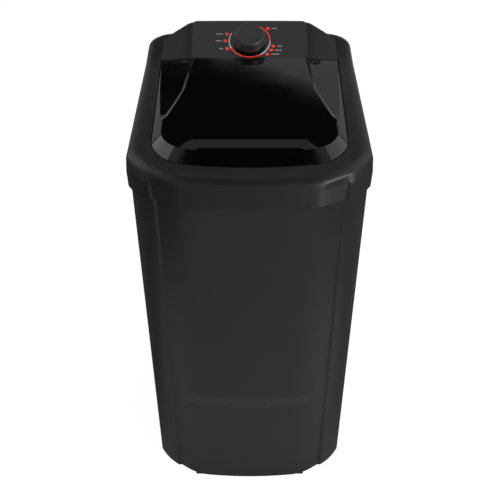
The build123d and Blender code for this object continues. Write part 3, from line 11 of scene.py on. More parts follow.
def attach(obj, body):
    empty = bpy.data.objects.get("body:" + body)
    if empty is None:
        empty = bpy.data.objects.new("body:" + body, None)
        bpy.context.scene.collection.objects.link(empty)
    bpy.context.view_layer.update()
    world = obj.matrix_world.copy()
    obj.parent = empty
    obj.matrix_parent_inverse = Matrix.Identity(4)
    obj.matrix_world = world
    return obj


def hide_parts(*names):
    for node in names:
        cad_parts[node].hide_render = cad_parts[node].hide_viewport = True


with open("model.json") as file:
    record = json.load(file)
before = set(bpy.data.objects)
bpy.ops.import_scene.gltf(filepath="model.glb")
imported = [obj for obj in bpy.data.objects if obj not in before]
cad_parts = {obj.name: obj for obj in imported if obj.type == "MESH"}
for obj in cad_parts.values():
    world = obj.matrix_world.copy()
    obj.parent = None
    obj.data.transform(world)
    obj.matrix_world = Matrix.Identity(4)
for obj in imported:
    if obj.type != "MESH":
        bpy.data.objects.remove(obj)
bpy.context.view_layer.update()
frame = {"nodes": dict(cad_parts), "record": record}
cad = frame["nodes"]

MM = 0.001

# Width of one band of a wave texture whose scale is 1
WAVE_BAND = math.tau / 20


# Colour and shader helpers


def linear(hex_colour):
    """Linear colour of an sRGB hex value such as "#2d2d2c"."""
    channels = []
    for i in (1, 3, 5):
        value = int(hex_colour[i:i + 2], 16) / 255
        channels.append(value / 12.92 if value <= 0.04045 else ((value + 0.055) / 1.055) ** 2.4)
    return (*channels, 1.0)


def add(tree, kind, sockets=None, **settings):
    """One node with its settings, and its inputs as values, as other nodes' outputs or as other nodes,
    each of which stands for its first output."""
    made = tree.nodes.new(kind)
    for name, value in settings.items():
        setattr(made, name, value)
    for name, value in (sockets or {}).items():
        if isinstance(value, bpy.types.Node):
            value = value.outputs[0]
        if isinstance(value, bpy.types.NodeSocket):
            tree.links.new(value, made.inputs[name])
        else:
            made.inputs[name].default_value = value
    return made


def surface(name, sockets):
    """New material: its node tree, its Principled shader and the object coordinates."""
    material = bpy.data.materials.new(name)
    material.use_nodes = True
    tree = material.node_tree
    tree.nodes.clear()
    shader = add(tree, "ShaderNodeBsdfPrincipled", sockets)
    add(tree, "ShaderNodeOutputMaterial", {"Surface": shader})
    place = add(tree, "ShaderNodeTexCoord").outputs["Object"]
    return material, tree, shader, place


def per_mm(size):
    """Texture scale whose features are about this many millimetres."""
    return 1 / (size * MM)


def dress(shader, colours=None, roughness=None, relief=None):
    """What a pattern changes over a surface: the base colour between two hex values, the roughness between
    two values, and a relief with its depth in millimetres. A noise lies mostly between 0.3 and 0.7, so the
    roughness spreads over that range."""
    tree = shader.id_data
    if colours:
        pattern, dark, light = colours
        mixed = add(tree, "ShaderNodeMix", {0: pattern, 6: linear(dark), 7: linear(light)}, data_type="RGBA")
        tree.links.new(mixed.outputs[2], shader.inputs["Base Color"])
    if roughness:
        pattern, low, high = roughness
        spread = add(tree, "ShaderNodeMapRange", {
            "Value": pattern, "From Min": 0.3, "From Max": 0.7, "To Min": low, "To Max": high,
        })
        tree.links.new(spread.outputs[0], shader.inputs["Roughness"])
    if relief:
        pattern, depth = relief
        bump = add(tree, "ShaderNodeBump", {"Height": pattern, "Distance": depth * MM})
        tree.links.new(bump.outputs[0], shader.inputs["Normal"])


# Finishes of the outside


def textured_polypropylene():
    """Black PP, moulded in a spark-eroded tool: matte, with a fine grain and a soft broad sheen.

    The real grain is about 0.3 mm, too fine to show, so it is drawn 1.6 mm wide."""
    material, tree, shader, place = surface("black_pp_spark_textured", {
        "IOR": 1.49, "Specular IOR Level": 0.28,
    })
    grain = add(tree, "ShaderNodeTexNoise", {"Vector": place, "Scale": per_mm(1.6), "Detail": 2.0})
    flow = add(tree, "ShaderNodeTexNoise", {"Vector": place, "Scale": per_mm(140), "Detail": 3.0})
    dress(shader, colours=(flow, "#1f1f1f", "#242423"), roughness=(flow, 0.29, 0.36), relief=(grain, 0.04))
    return material


def polished_abs():
    """Black ABS from a polished tool: deep gloss, with faint waviness and the haze of handling."""
    material, tree, shader, place = surface("black_abs_polished", {
        "Base Color": linear("#030405"), "IOR": 1.5,
    })
    haze = add(tree, "ShaderNodeTexNoise", {"Vector": place, "Scale": per_mm(45), "Detail": 4.0})
    wave = add(tree, "ShaderNodeTexNoise", {"Vector": place, "Scale": per_mm(60), "Detail": 0.0})
    dress(shader, roughness=(haze, 0.04, 0.07), relief=(wave, 0.1))
    return material


def glazed_fascia():
    """Clear acrylic over black print: very glossy and flat, with a faint haze."""
    material, tree, shader, place = surface("black_backed_acrylic", {
        "Base Color": linear("#060708"), "IOR": 1.49,
    })
    haze = add(tree, "ShaderNodeTexNoise", {"Vector": place, "Scale": per_mm(30), "Detail": 3.0})
    dress(shader, roughness=(haze, 0.05, 0.12))
    return material


def satin_abs():
    """Black ABS with a fine satin grain, as knobs have: soft highlights along its edges."""
    material, tree, shader, place = surface("black_abs_satin", {"IOR": 1.53})
    grain = add(tree, "ShaderNodeTexNoise", {"Vector": place, "Scale": per_mm(0.9), "Detail": 2.0})
    touch = add(tree, "ShaderNodeTexNoise", {"Vector": place, "Scale": per_mm(18), "Detail": 2.0})
    dress(shader, colours=(touch, "#29292a", "#303032"), roughness=(touch, 0.36, 0.46), relief=(grain, 0.03))
    return material


def pad_print(name, dark, light, glow=0.0):
    """Pad-printed ink: opaque, slightly uneven in thickness, with a soft gloss, and as much painted glow of
    its light colour as asked for.
    """
    # Emission at the glow's strength is painted light: the ink shines by itself, brighter than the lamps make
    # it.
    material, tree, shader, place = surface(name, {
        "Roughness": 0.35, "IOR": 1.5, "Emission Color": linear(light), "Emission Strength": glow,
    })
    film = add(tree, "ShaderNodeTexNoise", {"Vector": place, "Scale": per_mm(2.5), "Detail": 2.0})
    dress(shader, colours=(film, dark, light), relief=(film, 0.02))
    return material


def lacquered_plate():
    """Bare plate of ABS under satin lacquer: a little glossier than the shell round it."""
    material, tree, shader, place = surface("badge_satin_lacquer", {"IOR": 1.5})
    film = add(tree, "ShaderNodeTexNoise", {"Vector": place, "Scale": per_mm(6), "Detail": 2.0})
    dress(shader, colours=(film, "#171717", "#1c1c1c"), roughness=(film, 0.28, 0.36))
    return material


def moulded_rubber():
    """Black EPDM, moulded: dull, with a dusty bloom on its surface."""
    material, tree, shader, place = surface("black_epdm_moulded", {"IOR": 1.52})
    bloom = add(tree, "ShaderNodeTexNoise", {"Vector": place, "Scale": per_mm(9), "Detail": 4.0})
    dress(shader, colours=(bloom, "#171717", "#242423"), roughness=(bloom, 0.62, 0.8), relief=(bloom, 0.05))
    return material


# Finishes of the inside and the back


def tub_polypropylene():
    """Pale grey PP, moulded and polished where laundry rubs: soft gloss with faint flow marks."""
    material, tree, shader, place = surface("pale_pp_moulded", {"IOR": 1.49})
    flow = add(tree, "ShaderNodeTexNoise", {"Vector": place, "Scale": per_mm(90), "Detail": 3.0})
    grain = add(tree, "ShaderNodeTexNoise", {"Vector": place, "Scale": per_mm(2), "Detail": 1.0})
    dress(shader, colours=(flow, "#c2c4c4", "#cfd0cf"), roughness=(flow, 0.28, 0.4), relief=(grain, 0.02))
    return material


def agitator_polypropylene():
    """Bluish white PP, moulded: glossier than the tub, so that cloth slides on it."""
    material, tree, shader, place = surface("white_pp_moulded", {"IOR": 1.49})
    flow = add(tree, "ShaderNodeTexNoise", {"Vector": place, "Scale": per_mm(50), "Detail": 3.0})
    dress(shader, colours=(flow, "#d3d7da", "#dee1e3"), roughness=(flow, 0.2, 0.3))
    return material


def plain_polypropylene():
    """Dark grey PP of the fittings, moulded without texture: dull with shallow flow marks."""
    material, tree, shader, place = surface("dark_pp_moulded", {"IOR": 1.49})
    flow = add(tree, "ShaderNodeTexNoise", {"Vector": place, "Scale": per_mm(25), "Detail": 3.0})
    dress(shader, colours=(flow, "#2a2a2b", "#343435"), roughness=(flow, 0.4, 0.52), relief=(flow, 0.1))
    return material


def woven_net():
    """Polyamide net of the lint filter, woven: pale blue, with its crossing threads as a fine wave.

    Real threads lie about 0.15 mm apart, too fine to show, so they are drawn 0.44 mm apart."""
    material, tree, shader, place = surface("polyamide_net", {"Roughness": 0.55, "IOR": 1.53})
    pitch = WAVE_BAND * per_mm(0.44)
    across = add(tree, "ShaderNodeTexWave", {"Vector": place, "Scale": pitch}, bands_direction="X")
    along = add(tree, "ShaderNodeTexWave", {"Vector": place, "Scale": pitch}, bands_direction="Z")
    threads = add(tree, "ShaderNodeMath", {0: across.outputs[1], 1: along.outputs[1]}, operation="MAXIMUM")
    dress(shader, colours=(threads, "#8ea3b5", "#b4c6d4"), relief=(threads, 0.1))
    return material


def extruded_sheath():
    """Grey PVC sheath of the wiring lead, extruded: smooth with a dull gloss."""
    material, tree, shader, place = surface("grey_pvc_extruded", {"IOR": 1.53})
    film = add(tree, "ShaderNodeTexNoise", {"Vector": place, "Scale": per_mm(12), "Detail": 2.0})
    dress(shader, colours=(film, "#8b8b8c", "#979797"), roughness=(film, 0.38, 0.5))
    return material


def zinc_plate():
    """Steel with bright zinc plating: a cool metal with the mottled spangle of the bath."""
    material, tree, shader, place = surface("steel_zinc_plated", {"Metallic": 1.0})
    spangle = add(tree, "ShaderNodeTexVoronoi", {"Vector": place, "Scale": per_mm(7)}).outputs["Color"]
    blur = add(tree, "ShaderNodeTexNoise", {"Vector": place, "Scale": per_mm(10), "Detail": 3.0})
    dress(shader, colours=(spangle, "#a3a6a8", "#bcbfc1"), roughness=(blur, 0.28, 0.42))
    return material


def painted_sheet():
    """Steel sheet under black powder coat: low gloss with the coat's orange peel."""
    material, tree, shader, place = surface("steel_powder_coated", {"IOR": 1.5})
    peel = add(tree, "ShaderNodeTexNoise", {"Vector": place, "Scale": per_mm(3), "Detail": 1.0})
    flow = add(tree, "ShaderNodeTexNoise", {"Vector": place, "Scale": per_mm(70), "Detail": 2.0})
    dress(shader, colours=(flow, "#1d1d1d", "#222222"), roughness=(flow, 0.36, 0.44), relief=(peel, 0.08))
    return material


def ground_stainless():
    """Stainless steel bar, ground: fine rings round the axis of each shaft."""
    material, tree, shader, place = surface("stainless_ground", {"Metallic": 1.0})
    stretch = add(tree, "ShaderNodeMapping", {"Vector": place, "Scale": (0.1, 0.1, 1.0)})
    rings = add(tree, "ShaderNodeTexNoise", {"Vector": stretch, "Scale": per_mm(0.8), "Detail": 2.0})
    dress(shader, colours=(rings, "#b4b2ae", "#c6c5c2"), roughness=(rings, 0.2, 0.34), relief=(rings, 0.01))
    return material


def stacked_laminations():
    """Motor stack of varnished electrical sheet: thin layers along the axis.

    Real layers are 0.5 mm thick, too fine to show, so they are drawn 1.26 mm thick."""
    material, tree, shader, place = surface("laminations_varnished", {"Metallic": 0.4})
    layers = add(tree, "ShaderNodeTexWave", {
        "Vector": place, "Scale": WAVE_BAND * per_mm(1.26),
    }, bands_direction="Z").outputs[1]
    dress(shader, colours=(layers, "#3b3a3b", "#5b5a5b"), roughness=(layers, 0.4, 0.55), relief=(layers, 0.1))
    return material


def enamelled_copper():
    """Motor windings of enamelled copper wire, wound: wavy strands 0.75 mm thick round the stack."""
    material, tree, shader, place = surface("copper_wire_enamelled", {"Metallic": 0.75, "Roughness": 0.34})
    strands = add(tree, "ShaderNodeTexWave", {
        "Vector": place, "Scale": WAVE_BAND * per_mm(0.75), "Distortion": 1.5, "Detail": 2.0,
    }, bands_direction="Z").outputs[1]
    dress(shader, colours=(strands, "#8a3f1c", "#c8733b"), relief=(strands, 0.4))
    return material


def cast_aluminium():
    """Die-cast aluminium, as cast and tumbled: pale grey, faintly pitted."""
    material, tree, shader, place = surface("aluminium_die_cast", {"Metallic": 1.0})
    pits = add(tree, "ShaderNodeTexNoise", {"Vector": place, "Scale": per_mm(1.5), "Detail": 4.0})
    dress(shader, colours=(pits, "#a9aaab", "#c0c1c1"), roughness=(pits, 0.38, 0.55), relief=(pits, 0.08))
    return material


def glass_filled_polypropylene():
    """Mid grey glass-filled PP, moulded: matte, with short fibres showing as pale flecks."""
    material, tree, shader, place = surface("glass_filled_pp_moulded", {"IOR": 1.49})
    flecks = add(tree, "ShaderNodeTexNoise", {"Vector": place, "Scale": per_mm(2), "Detail": 3.0})
    dress(shader, colours=(flecks, "#5d5e60", "#747577"), roughness=(flecks, 0.5, 0.62))
    return material


def sintered_bronze():
    """Oil-filled sintered bronze: warm, dull and porous."""
    material, tree, shader, place = surface("bronze_sintered", {"Metallic": 1.0})
    pores = add(tree, "ShaderNodeTexNoise", {"Vector": place, "Scale": per_mm(0.8), "Detail": 3.0})
    dress(shader, colours=(pores, "#86602f", "#b28a51"), roughness=(pores, 0.45, 0.6), relief=(pores, 0.05))
    return material


def drawn_aluminium():
    """Capacitor can of deep-drawn aluminium: bright, with long draw marks."""
    material, tree, shader, place = surface("aluminium_deep_drawn", {"Metallic": 1.0})
    stretch = add(tree, "ShaderNodeMapping", {"Vector": place, "Scale": (1.0, 1.0, 0.05)})
    marks = add(tree, "ShaderNodeTexNoise", {"Vector": stretch, "Scale": per_mm(0.8), "Detail": 2.0})
    dress(shader, colours=(marks, "#bfc0c1", "#d0d1d1"), roughness=(marks, 0.22, 0.36))
    return material


finishes = {
    "body_plastic": textured_polypropylene(),
    "lid_gloss": polished_abs(),
    "panel_gloss": glazed_fascia(),
    "knob_plastic": satin_abs(),
    "print_white": pad_print("white_pad_print", "#c9c9c8", "#e2e2e0"),
    # The red ink gets a painted glow of 0.25: it emits light of its own so that it looks brighter than lit
    # ink.
    "print_red": pad_print("red_pad_print_painted_glow", "#e02018", "#ff3a30", 0.25),
    "plate_satin": lacquered_plate(),
    "tub_plastic": tub_polypropylene(),
    "agitator_plastic": agitator_polypropylene(),
    "inner_plastic": plain_polypropylene(),
    "filter_net": woven_net(),
    "rubber": moulded_rubber(),
    "cable": extruded_sheath(),
    "zinc_steel": zinc_plate(),
    "cover_steel": painted_sheet(),
    "stainless": ground_stainless(),
    "stator_steel": stacked_laminations(),
    "winding": enamelled_copper(),
    "cast_aluminium": cast_aluminium(),
    "housing_plastic": glass_filled_polypropylene(),
    "bush_bronze": sintered_bronze(),
    "capacitor_case": drawn_aluminium(),
}


# Pieces, from here on in millimetres

body_of = {node: body for body, nodes in frame["record"]["behaviour"]["bodies"].items() for node in nodes}
slot_of = {part["node"]: part["material_slot"] for part in frame["record"]["subparts"]}

# Edge rounding of the pieces copied from the CAD: moulded edges are softer than sheared and turned ones
EDGE_RADIUS = {
    "tub": 1.5, "agitator": 1.5, "filter_frame": 0.8,
    "rubber_feet": 0.6, "drive_belt": 0.6, "badge_plate": 0.5,
}
FINE_EDGE = 0.25

# Faces that meet at less than this angle in degrees are shaded as one smooth surface
SMOOTH_ANGLE = 28


def placed(name, data):
    """New object in the scene, from a mesh, a lamp or a camera."""
    piece = bpy.data.objects.new(name, data)
    bpy.context.scene.collection.objects.link(piece)
    return piece


def meshed(shape, name):
    """Shape made a new object in the scene."""
    mesh = bpy.data.meshes.new(name)
    shape.to_mesh(mesh)
    shape.free()
    return placed(name, mesh)


def finish(shape, name, node):
    """Shape made an object that stands for a CAD node, with its body, slot and finish."""
    piece = meshed(shape, name)
    for face in piece.data.polygons:
        face.use_smooth = True
    piece.data.set_sharp_from_angle(angle=math.radians(SMOOTH_ANGLE))
    piece.data.materials.append(finishes[slot_of[node]])
    piece.modifiers.new("even_normals", "WEIGHTED_NORMAL").keep_sharp = True
    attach(piece, body_of[node])
    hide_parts(node)


def soften(shape, radius, angle, segments=2):
    """Rounds every edge between two faces that meet at more than an angle in degrees."""
    sharp = [e for e in shape.edges if e.is_manifold and e.calc_face_angle(0.0) > math.radians(angle)]
    bmesh.ops.bevel(
        shape, geom=sharp, offset=radius * MM, offset_type="OFFSET", segments=segments, profile=0.5,
        affect="EDGES", clamp_overlap=True, material=-1,
    )


def eased(node):
    """Copy of a CAD node, merged, with its flat faces joined and its sharp edges rounded."""
    shape = bmesh.new()
    shape.from_mesh(cad[node].data)
    bmesh.ops.remove_doubles(shape, verts=shape.verts, dist=0.004 * MM)
    bmesh.ops.dissolve_limit(
        shape, angle_limit=math.radians(0.6), verts=shape.verts, edges=shape.edges, delimit={"NORMAL"},
    )
    soften(shape, EDGE_RADIUS.get(node, FINE_EDGE), 32)
    finish(shape, node + "_eased", node)


# Outlines


def bowed(start, end, sag, count):
    """Points from one corner towards the next, bowed outwards by a sag, the next corner left out."""
    start, end = Vector(start), Vector(end)
    along = end - start
    if sag == 0:
        return [start + along * i / count for i in range(count)]
    outwards = Vector((along.y, -along.x)).normalized()
    radius = (along.length ** 2 / 4 + sag ** 2) / (2 * sag)
    centre = (start + end) / 2 - outwards * (radius - sag)
    spread = math.asin(along.length / 2 / radius)
    along.normalize()
    points = []
    for i in range(count):
        angle = spread * (2 * i / count - 1)
        points.append(centre + radius * (outwards * math.cos(angle) + along * math.sin(angle)))
    return points


def outline(right, sags, counts):
    """Closed outline from its right-hand corners, front to back: the sag and the number of points of each
    side between them, then those of the rear side and of the front side."""
    sides = len(right) - 1
    corners = right + [(-x, y) for x, y in reversed(right)]
    bows = sags[:sides + 1] + sags[:sides][::-1] + sags[sides + 1:]
    steps = counts[:sides + 1] + counts[:sides][::-1] + counts[sides + 1:]
    points = []
    for i, corner in enumerate(corners):
        points += bowed(corner, corners[(i + 1) % len(corners)], bows[i], steps[i])
    return points


def lift(points, z):
    """Plan points at one height, or at the height that a function gives for each."""
    return [Vector((p.x, p.y, z(p) if callable(z) else z)) for p in points]


def mix(first, second, share):
    """Points part of the way from those of one row to those of another."""
    return [a.lerp(b, share) for a, b in zip(first, second)]


# Shells


def extruded(shape, edges):
    """Faces drawn out of edges and still flat on them: the new vertices, and the new edges between them."""
    made = bmesh.ops.extrude_edge_only(shape, edges=edges)["geom"]
    verts = [g for g in made if isinstance(g, bmesh.types.BMVert)]
    fresh = set(verts)
    return verts, [g for g in made if isinstance(g, bmesh.types.BMEdge) and fresh.issuperset(g.verts)]


def swept(shape, rows, closed=True):
    """Bands of faces from row to row of points, each extruded from the one before, and their vertices."""
    verts = [shape.verts.new(p * MM) for p in rows[0]]
    ends = verts[1:] + verts[:1] if closed else verts[1:]
    edges = [shape.edges.new(pair) for pair in zip(verts, ends)]
    made = [verts]
    for row in rows[1:]:
        fresh, edges = extruded(shape, edges)
        fresh = set(fresh)
        verts = [next(e.other_vert(v) for e in v.link_edges if e.other_vert(v) in fresh) for v in verts]
        for vert, point in zip(verts, row):
            vert.co = point * MM
        made.append(verts)
    return made


def capped(shape, verts):
    """Fills a row of vertices with one face, closing the row first where it is open."""
    edges = [shape.edges.get(pair) or shape.edges.new(pair) for pair in zip(verts, verts[1:] + verts[:1])]
    bmesh.ops.edgeloop_fill(shape, edges=edges)


def solid(shape, rows):
    """Solid between closed rows of points, its first and last row filled."""
    made = swept(shape, rows)
    capped(shape, made[0])
    capped(shape, made[-1])
    bmesh.ops.recalc_face_normals(shape, faces=shape.faces)


def block(shape, low, high):
    """Box between two corners, added to a shape."""
    low, high = Vector(low) * MM, Vector(high) * MM
    made = bmesh.ops.create_cube(shape, size=1.0)["verts"]
    bmesh.ops.scale(shape, verts=made, vec=high - low)
    bmesh.ops.translate(shape, verts=made, vec=(low + high) / 2)
    return made


def window(shape, low, high):
    """Cuts out what lies between two corners of a box, along the box's sides."""
    low, high = Vector(low) * MM, Vector(high) * MM

    def meets(face):
        for axis in range(3):
            values = [v.co[axis] for v in face.verts]
            if min(values) > high[axis] or max(values) < low[axis]:
                return False
        return True

    for axis in range(3):
        normal = Vector([float(i == axis) for i in range(3)])
        for corner in (low, high):
            faces = [f for f in shape.faces if meets(f)]
            parts = set(faces)
            for face in faces:
                parts.update(face.edges)
                parts.update(face.verts)
            bmesh.ops.bisect_plane(shape, geom=list(parts), dist=1e-6, plane_co=corner, plane_no=normal)
    inside = []
    for face in shape.faces:
        middle = face.calc_center_median()
        if all(low[i] < middle[i] < high[i] for i in range(3)):
            inside.append(face)
    bmesh.ops.delete(shape, geom=inside, context="FACES")


def thicken(shape, wall):
    """Gives a shell its wall, inwards from its faces, and closes its rims."""
    bmesh.ops.remove_doubles(shape, verts=shape.verts, dist=0.01 * MM)
    bmesh.ops.recalc_face_normals(shape, faces=shape.faces)
    bmesh.ops.solidify(shape, geom=shape.faces, thickness=wall * MM)


def carved(shape, cutters):
    """Solid with other solids cut out of it."""
    body = meshed(shape, "carving")
    tools = [meshed(cutter, "cutter") for cutter in cutters]
    for tool in tools:
        cut = body.modifiers.new("cut", "BOOLEAN")
        cut.operation = "DIFFERENCE"
        cut.solver = "EXACT"
        cut.object = tool
    result = bmesh.new()
    result.from_object(body, bpy.context.evaluated_depsgraph_get())
    for piece in (body, *tools):
        mesh = piece.data
        bpy.data.objects.remove(piece)
        bpy.data.meshes.remove(mesh)
    bmesh.ops.remove_doubles(result, verts=result.verts, dist=0.02 * MM)
    return result


# Plan of the cabinet and of the top frame, as the CAD has it

FRONT_HALF = 145
FRONT_BOW = 10
GROOVE_INSET = 61
FACET_SETBACK = 41
PILLAR_STEP = 5
PILLAR_SLANT = 6
PILLAR_SAG = 5
SIDE_SETBACK = 99
REAR_CORNER = 40
REAR_SAG = 11.7
SEAT_Y = 190
SEAT_Z = 1014
CABINET_BACK = 295
FRAME_BACK = 300


def grooved_corner(half, front):
    """Right-hand front corners of the plan: end of the bow, facet, step and pillar."""
    start = Vector((FRONT_HALF, -front + FRONT_BOW))
    facet = Vector((half - GROOVE_INSET, -front + FACET_SETBACK))
    along = (facet - start).normalized()
    step = facet + PILLAR_STEP * Vector((along.y, -along.x)) + PILLAR_SLANT * along
    return [start, facet, step, Vector((half, -front + SIDE_SETBACK))]


# Cabinet

CABINET_TOP = 880
CABINET_EDGE = 9
CABINET_HALF = 257
CABINET_FRONT = 293
SIDE_DRAFT = 6
FRONT_DRAFT = 4
CABINET_WALL = 3.5

# The lower front is set back below a slanting bevel, less so round the corners and towards the foot
RECESS_TOP = 316
RECESS_BEVEL = 34
RECESS_DEPTH = 5
RECESS_FADE = 300
RECESS_FOOT_SHARE = 0.1
CORNER_START = 116
CORNER_REACH = 30
CORNER_SAG = 3.2
CORNER_SHARE = 0.4

# Pockets in the back, each between two corners: the opening behind the service cover and the inlet's seat
SERVICE_POCKET = ((-150, 261, 60), (150, CABINET_BACK, 560))
SERVICE_LIP = 14
INLET_POCKET = ((90, 262, 770), (150, CABINET_BACK, 830))

# Right-hand feet, each between two corners of its plan
FRONT_FOOT = ((113, -283), (148, -251))
REAR_FOOT = ((165, 253), (205, 294))
FOOT_BASE = 3
FOOT_TOP = 18

# Ledge that the base cover is screwed to: its edges are drawn in by these shares towards the plan's middle
LEDGE_Z = 15
LEDGE_THICKNESS = 3
LEDGE_SHARES = (0.012, 0.085)
PLAN_MIDDLE_Y = 20


def cabinet_row(z):
    """The cabinet's plan at a height, with the set-back front low down."""
    share = 1 - z / CABINET_TOP
    half = CABINET_HALF - SIDE_DRAFT * share
    bow, facet, step, pillar = grooved_corner(half, CABINET_FRONT + FRONT_DRAFT * share)
    below = min(max((RECESS_TOP - z) / RECESS_BEVEL, 0), 1)
    depth = RECESS_DEPTH * below * min(1, RECESS_FOOT_SHARE + z / RECESS_FADE)
    start_bow = FRONT_BOW * (CORNER_START / FRONT_HALF) ** 2
    start = Vector((CORNER_START, bow.y - FRONT_BOW + start_bow))
    fade = bow + (facet - bow).normalized() * CORNER_REACH
    corners = [
        start + Vector((0, depth)), fade + Vector((0, depth * CORNER_SHARE)), facet, step, pillar,
        (half, CABINET_BACK - REAR_CORNER), (half - REAR_CORNER, CABINET_BACK),
        (SERVICE_POCKET[1][0], CABINET_BACK), (INLET_POCKET[0][0], CABINET_BACK),
    ]
    sags = [CORNER_SAG, 0, 0, PILLAR_SAG, 0, REAR_SAG, 0, 0, 0, start_bow]
    counts = [6, 2, 1, 8, 10, 8, 2, 2, 4, 16]
    return lift(outline([tuple(c) for c in corners], sags, counts), z)


def pocket(shape, low, high, lip=0):
    """Recess in the back wall between two corners: closed by a floor, or with a lip round an opening."""
    window(shape, (low[0], CABINET_BACK - 2, low[2]), (high[0], CABINET_BACK + 2, high[2]))
    low, high = Vector(low), Vector(high)
    near, far = (low - Vector((1, 1, 1))) * MM, (high + Vector((1, 9, 1))) * MM
    rim = []
    for edge in shape.edges:
        if edge.is_boundary and all(near[i] < v.co[i] < far[i] for v in edge.verts for i in range(3)):
            rim.append(edge)
    verts, rim = extruded(shape, rim)
    bmesh.ops.translate(shape, verts=verts, vec=(0, (low.y - CABINET_BACK) * MM, 0))
    if not lip:
        bmesh.ops.edgeloop_fill(shape, edges=rim)
        return
    verts, rim = extruded(shape, rim)
    size = high - low
    shrink = Vector((1 - 2 * lip / size.x, 1, 1 - 2 * lip / size.z))
    bmesh.ops.scale(shape, verts=verts, vec=shrink, space=Matrix.Translation((low + high) / -2 * MM))


def ledge_row(share, rise):
    """The cabinet's plan at the ledge, drawn in towards its middle by a share and raised."""
    middle = Vector((0, PLAN_MIDDLE_Y, LEDGE_Z))
    return [p + (middle - p) * share + Vector((0, 0, rise)) for p in cabinet_row(LEDGE_Z)]


def cabinet_shell():
    """Tall moulded shell: drafted sides, bowed front, facets, grooves and pillars, with feet, a ledge inside
    the foot and two pockets in the back."""
    shape = bmesh.new()
    # Rows lie close above and below each end of the bevel, and one more divides the tall plain part
    bevel_foot = RECESS_TOP - RECESS_BEVEL
    heights = [CABINET_EDGE, bevel_foot - 30, bevel_foot - 2, bevel_foot + 2]
    heights += [RECESS_TOP - 2, RECESS_TOP + 2, 600, CABINET_TOP]
    swept(shape, [cabinet_row(z) for z in heights])
    bmesh.ops.recalc_face_normals(shape, faces=shape.faces)
    soften(shape, 1.0, 22)
    pocket(shape, *SERVICE_POCKET, lip=SERVICE_LIP)
    pocket(shape, *INLET_POCKET)
    thicken(shape, CABINET_WALL)
    for side in (-1, 1):
        for near, far in (FRONT_FOOT, REAR_FOOT):
            left, right = sorted((side * near[0], side * far[0]))
            block(shape, (left, near[1], FOOT_BASE), (right, far[1], FOOT_TOP))
    outer, inner = LEDGE_SHARES
    swept(shape, [
        ledge_row(outer, 0), ledge_row(inner, 0),
        ledge_row(inner, LEDGE_THICKNESS), ledge_row(outer, LEDGE_THICKNESS),
    ])
    finish(shape, "cabinet_shell", "cabinet")


# Top frame and the lid's hinge

RIM_SLOPE = math.tan(math.radians(10))
REAR_SLOPE = math.tan(math.radians(17))
SKIRT_Z = 874
BULGE_Z = 905
CROWN_Z = 1120
DECK_REAR_Z = 1002
WELL_DEPTH = 16
FRAME_WALL = 3.0

# Soft roll from wall to rim: how far below the rim it starts, and the share of the rim that it leaves flat
ROLL_DROP = 14
ROLL_END = 0.45

# Fading of the grooves where the roll starts and at the waist, which lies a share of the way up to the roll
ROLL_FADE = 0.6
WAIST_FADE = 0.15
WAIST_SHARE = 0.4

# Half width and front reach of the frame's plan at three levels, the crown being where its sides would end
SKIRT_PLAN = (262, 300)
BULGE_PLAN = (265, 292)
CROWN_PLAN = (257, 237)
SOFT_CORNER_SAG = 14

# Right-hand corners of the lid's opening and of the mouth over the tub, front to back, and their rounds' sags
OPENING = [(137, -227.1), (214.5, -140.5), (223.5, SEAT_Y), (222.6, 276.6), (149.6, 297.6)]
OPENING_SAG = 21
OPENING_EASE = 0.05
OPENING_DROP = 1.2
MOUTH = [(122, -208), (192, -138), (192, 82), (122, 152)]
MOUTH_SAG = 20.5
MOUTH_FOOT = 868

# Square holes in the back for the heads of the panel's screws: place, and half their width
SCREW_X = 120
SCREW_Z = 1022
SCREW_HOLE = 4.5

# The lid's hinge, in the lid's own plane: its axis, the frame's post and the lid's cheeks beside the post
HINGE_X = 163
HINGE_Y = -12
HINGE_Z = 1
POST_WIDTH = 10
POST_RADIUS = 5
CHEEK_OFFSET = 10
CHEEK_WIDTH = 8
CHEEK_RADIUS = 4.2
CHEEK_FOOT = -9

lid_place = Matrix.Translation(Vector((0, SEAT_Y, SEAT_Z)) * MM) @ Matrix.Rotation(math.radians(10), 4, "X")


def rim_height(point):
    """Height of the rim's surface over a plan point."""
    slope = RIM_SLOPE if point.y < SEAT_Y else REAR_SLOPE
    return SEAT_Z + slope * (point.y - SEAT_Y)


def deck_height(point):
    """Height of the lid's well over a plan point."""
    return rim_height(point) - WELL_DEPTH


def frame_plan(half, front, grooved):
    """Plan of the top frame at one level, with its facets and grooves or with one soft front corner."""
    corner = [tuple(c) for c in grooved_corner(half, front)]
    rear = [(half, SEAT_Y), (half, FRAME_BACK - REAR_CORNER), (half - REAR_CORNER, FRAME_BACK)]
    rear_sags, rear_counts = [0, 0, REAR_SAG, 0, FRONT_BOW], [8, 3, 6, 6, 14]
    if grooved:
        return outline(corner + rear, [0, 0, PILLAR_SAG] + rear_sags, [5, 1, 6] + rear_counts)
    return outline([corner[0], corner[3]] + rear, [SOFT_CORNER_SAG] + rear_sags, [12] + rear_counts)


def frame_wall(plans, i, z, fade):
    """Point of the frame's wall at a height, its grooves gone when the fade is 1."""
    share = (z - BULGE_Z) / (CROWN_Z - BULGE_Z)
    grooved, soft = [low[i].lerp(high[i], share) for low, high in plans]
    plan = grooved.lerp(soft, fade)
    return Vector((plan.x, plan.y, z))


